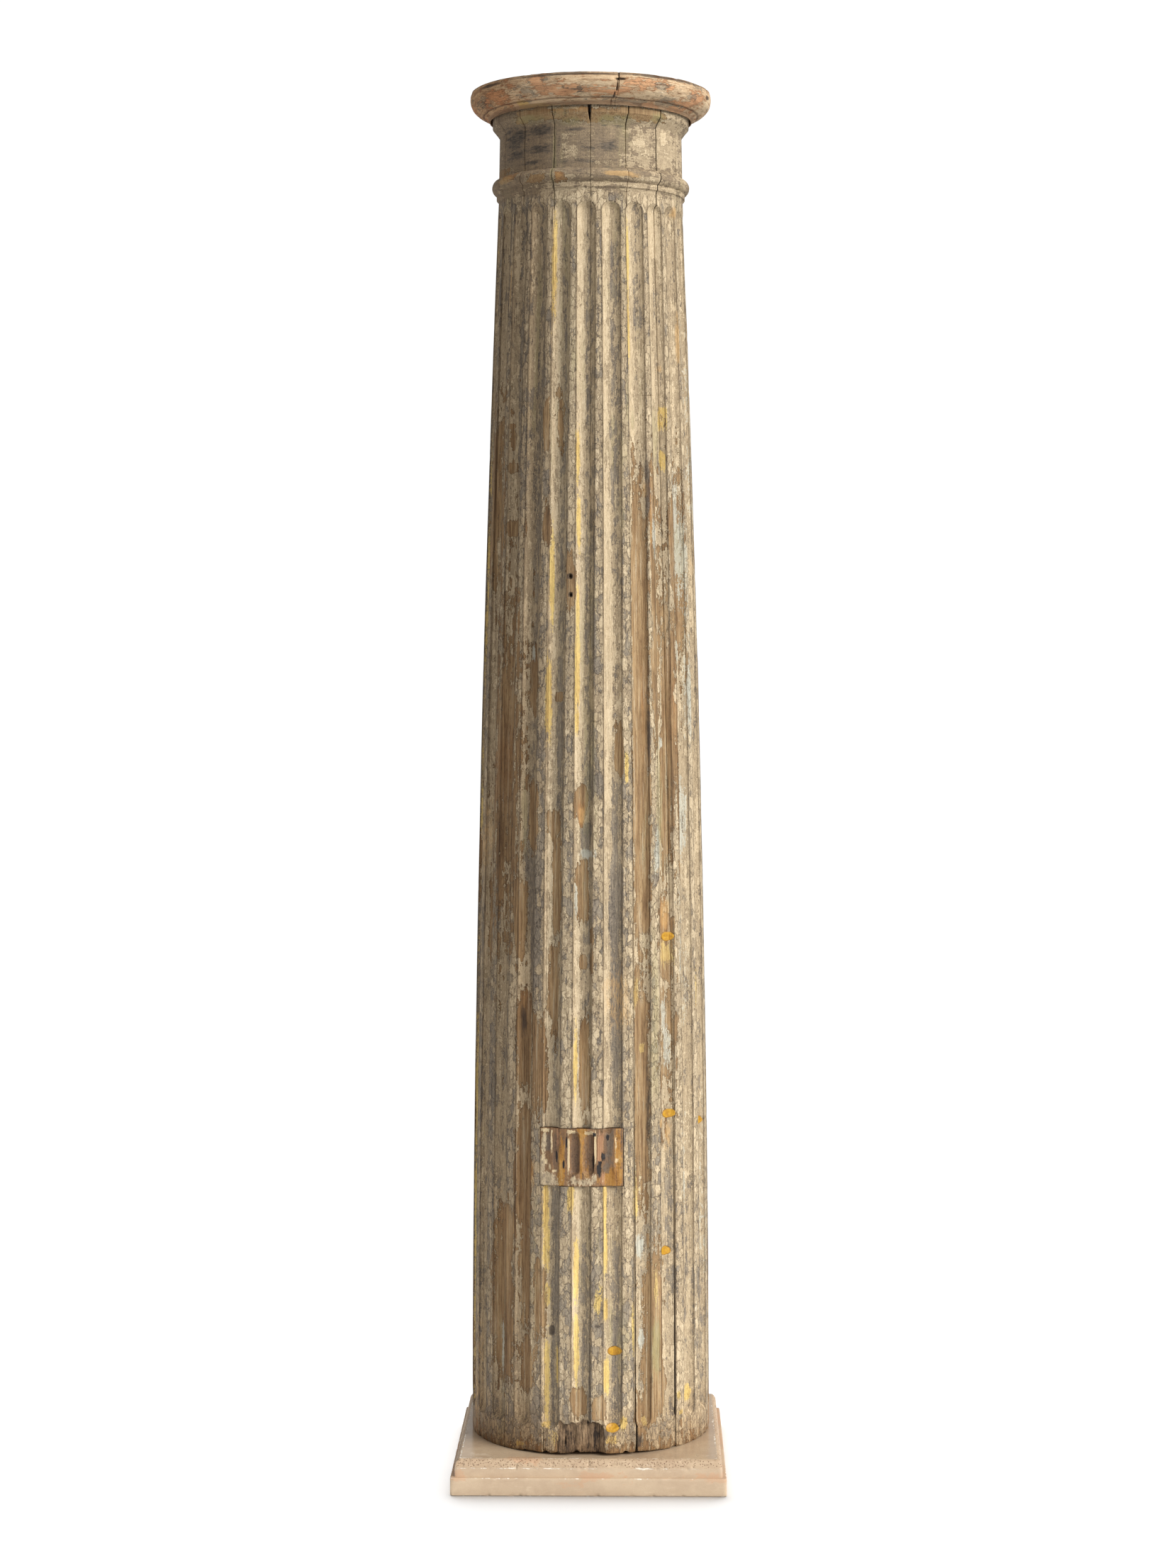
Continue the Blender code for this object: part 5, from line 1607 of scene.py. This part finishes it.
def plinth_outline():
    """Half-width and height of the plinth's edge from its underside to its top."""
    upper = PLINTH_HALF - UPPER_TIER_STEP
    points = [(PLINTH_HALF - 1.2 * MM, 0.0), (PLINTH_HALF, 1.2 * MM)]
    points += straight(points[-1], (PLINTH_HALF, LOWER_TIER - 1.5 * MM), 8)
    points += [(PLINTH_HALF, LOWER_TIER - 1.5 * MM), (PLINTH_HALF - 0.6 * MM, LOWER_TIER - 0.4 * MM),
               (PLINTH_HALF - 1.5 * MM, LOWER_TIER)]
    points += straight(points[-1], (upper, LOWER_TIER), 2) + [(upper + 0.3 * MM, LOWER_TIER + 0.1 * MM)]
    ovolo_foot = PLINTH_TOP - OVOLO_HEIGHT
    points += straight((upper, LOWER_TIER), (upper, ovolo_foot), 6)
    points += arc((upper - OVOLO_REACH, ovolo_foot), (OVOLO_REACH, OVOLO_HEIGHT), 0.0,
                  math.pi / 2, 14)
    points += [(upper - OVOLO_REACH - step * MM, PLINTH_TOP) for step in (1.5, 4.0, 9.0)]
    return points


def add_plinth(material):
    """Model the plinth by extruding a square rim up through its mouldings."""
    count = PLINTH_VERTICES
    outline = plinth_outline()
    deselect_everything()
    bpy.ops.mesh.primitive_circle_add(vertices=count, radius=1.0, fill_type="NOTHING")
    obj = bpy.context.object
    obj.name = "plinth_worn"
    obj.data.name = "plinth_worn"
    share = np.arange(count) / count * 4.0
    side = np.floor(share).astype(int)
    along = (share - side) * 2.0 - 1.0
    square = np.zeros((count, 3))
    corners = [(along, -1.0), (1.0, along), (-along, 1.0), (-1.0, -along)]
    for number, (x, y) in enumerate(corners):
        chosen = side == number
        square[chosen, 0] = (x + 0.0 * along)[chosen]
        square[chosen, 1] = (y + 0.0 * along)[chosen]
    order = np.argsort(np.arctan2(square[:, 1], square[:, 0]) % (2 * math.pi))
    ring = vertex_places(obj)
    ring_order = np.argsort(np.arctan2(ring[:, 1], ring[:, 0]) % (2 * math.pi))
    placed = np.zeros((count, 3))
    placed[ring_order] = square[order]
    placed *= outline[0][0]
    placed[:, 2] = outline[0][1]
    place_vertices(obj, placed)
    bpy.ops.object.mode_set(mode="EDIT")
    bpy.ops.mesh.select_mode(type="EDGE")
    bpy.ops.mesh.select_all(action="SELECT")
    bpy.ops.mesh.edge_face_add()
    for (before, low), (half, high) in zip(outline, outline[1:]):
        bpy.ops.mesh.extrude_region_move(
            TRANSFORM_OT_translate={"value": (0.0, 0.0, high - low)})
        bpy.ops.transform.resize(value=(half / before, half / before, 1.0))
    point_outwards()
    roughen_plinth(obj)
    return settle(obj, ["plinth"], material, 32.0)


def roughen_plinth(obj):
    """Pit the ovolo, chip the arrises and roughen the left side of the plinth."""
    places = vertex_places(obj)
    half = np.maximum(np.abs(places[:, 0]), np.abs(places[:, 1]))
    height = places[:, 2]
    upper = PLINTH_HALF - UPPER_TIER_STEP
    ovolo = unit((height - (PLINTH_TOP - OVOLO_HEIGHT)) / (3.0 * MM))
    ovolo = ovolo * unit((PLINTH_TOP - height) / (1.0 * MM) + 0.35)
    top = height > PLINTH_TOP - 0.2 * MM
    pits = peaks(places, (0.006, 0.006, 0.005), 91, 3, 0.2)
    swell = smooth_noise(places, (0.03, 0.03, 0.02), 93, 2)
    edge_lines = ((PLINTH_HALF, LOWER_TIER), (upper, PLINTH_TOP - OVOLO_HEIGHT),
                  (upper - OVOLO_REACH, PLINTH_TOP), (PLINTH_HALF, 0.0))
    arris = np.zeros(len(places))
    for reach, level in edge_lines:
        away = np.hypot(half - reach, height - level)
        arris = np.maximum(arris, np.exp(-(away / (2.4 * MM)) ** 2))
    near_corner = np.minimum(np.abs(places[:, 0]), np.abs(places[:, 1])) / np.maximum(half, 0.001)
    corner = unit((near_corner - 0.985) / 0.015)
    chips = peaks(places, (0.0075, 0.0075, 0.02), 97, 3, 0.42)
    broken = unit((-places[:, 0] - PLINTH_HALF + 14.0 * MM) / (4.0 * MM))
    inward = ovolo * pits * 2.2 * MM + arris * chips * 3.4 * MM + corner * 0.9 * MM
    inward = inward + broken * np.maximum(pits - 0.1, 0.0) * 1.6 * MM
    inward = inward + np.where(top | (height < 0.5 * MM), 0.0, swell * 0.08 * MM + 0.08 * MM)
    scale = 1.0 - inward / np.maximum(half, 0.001)
    places[:, 0] *= scale
    places[:, 1] *= scale
    places[:, 2] -= np.where(top, arris * chips * 1.6 * MM, 0.0)
    place_vertices(obj, places)
    stain = smooth_noise(places, (0.12, 0.12, 0.03), 99, 2) - 0.35
    add_field(obj, "stone", (ovolo, arris, top.astype(float), stain))


def add_floor():
    """Plain pale floor under the column."""
    deselect_everything()
    bpy.ops.mesh.primitive_plane_add(size=FLOOR_SIZE, location=(0.0, 0.0, 0.0))
    floor = bpy.context.object
    floor.name = "studio_floor"
    finish = Finish("pale_floor")
    shader = finish.node(
        "ShaderNodeBsdfPrincipled", None, {"Base Color": (0.9, 0.9, 0.9, 1.0), "Roughness": 0.9})
    finish.node("ShaderNodeOutputMaterial", None, {"Surface": shader.outputs[0]})
    floor.data.materials.append(finish.material)
    floor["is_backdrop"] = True
    return floor


def add_sun(name, energy, spread, turn, lit, shading=None):
    """Add one broad light for some objects, shaded by all of them or only by some."""
    light = bpy.data.lights.new(name, "SUN")
    light.energy = energy
    light.angle = math.radians(spread)
    lamp = bpy.data.objects.new(name, light)
    lamp.rotation_euler = [math.radians(part) for part in turn]
    bpy.context.scene.collection.objects.link(lamp)
    lamp.light_linking.receiver_collection = lit
    if shading:
        lamp.light_linking.blocker_collection = shading
    return light


def add_lights(floor):
    """Soft key from the upper right for the column, overhead light for the floor, dim sky."""
    ground = bpy.data.collections.new("lit_floor")
    ground.objects.link(floor)
    column = bpy.data.collections.new("lit_column")
    base = bpy.data.collections.new("floor_shading")
    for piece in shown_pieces():
        column.objects.link(piece)
        if piece.name.startswith("plinth"):
            base.objects.link(piece)
    key = add_sun("key_light", KEY_STRENGTH, 36.0, (60.0, 0.0, 54.0), column)
    key.color = (1.0, 0.985, 0.955)
    add_sun("floor_light", FLOOR_STRENGTH, 72.0, (-42.0, 0.0, 0.0), ground, base)
    world = bpy.data.worlds.new("studio_white")
    bpy.context.scene.world = world
    world.use_nodes = True
    nodes = world.node_tree.nodes
    links = world.node_tree.links
    background = nodes["Background"]
    rays = nodes.new("ShaderNodeLightPath")
    strength = nodes.new("ShaderNodeMapRange")
    strength.inputs[3].default_value = SKY_STRENGTH
    strength.inputs[4].default_value = 1.05
    links.new(rays.outputs["Is Camera Ray"], strength.inputs[0])
    links.new(strength.outputs[0], background.inputs["Strength"])
    background.inputs["Color"].default_value = (1.0, 1.0, 1.0, 1.0)


def add_camera():
    """Camera at the photograph's viewpoint."""
    data = bpy.data.cameras.new("photo_camera")
    camera = bpy.data.objects.new("photo_camera", data)
    bpy.context.scene.collection.objects.link(camera)
    camera.location = CAMERA_PLACE
    camera.rotation_euler = (math.radians(90.0), 0.0, math.radians(CAMERA_TURN))
    data.sensor_width = 36.0
    data.sensor_fit = "AUTO"
    data.lens = FOCAL_PIXELS / PHOTO_HEIGHT * data.sensor_width
    data.shift_x = -(MIDDLE_X - PHOTO_WIDTH / 2) / PHOTO_HEIGHT
    data.shift_y = (HORIZON_Y - PHOTO_HEIGHT / 2) / PHOTO_HEIGHT
    bpy.context.scene.camera = camera


def set_picture():
    """Show colours as they are, without a film curve."""
    settings = bpy.context.scene.view_settings
    settings.view_transform = "Standard"
    settings.look = "None"


def build():
    """Dress the whole column."""
    add_camera()
    set_picture()
    paint = make_flaking_paint()
    ring_paint = make_ring_paint()
    for index in range(STAVE_COUNT):
        add_stave(index, paint)
    for index in range(RING_COUNT):
        add_ring_segment(index, ring_paint)
    add_patch(make_patch_wood())
    filler = make_amber_filler()
    for number, (azimuth, height) in enumerate(PLUG_PLACES, start=1):
        add_plug(number, azimuth, height, filler)
    add_plinth(make_stone())
    add_lights(add_floor())


def write_sizes():
    """Bring the view layer up to date."""
    bpy.context.view_layer.update()


build()
write_sizes()
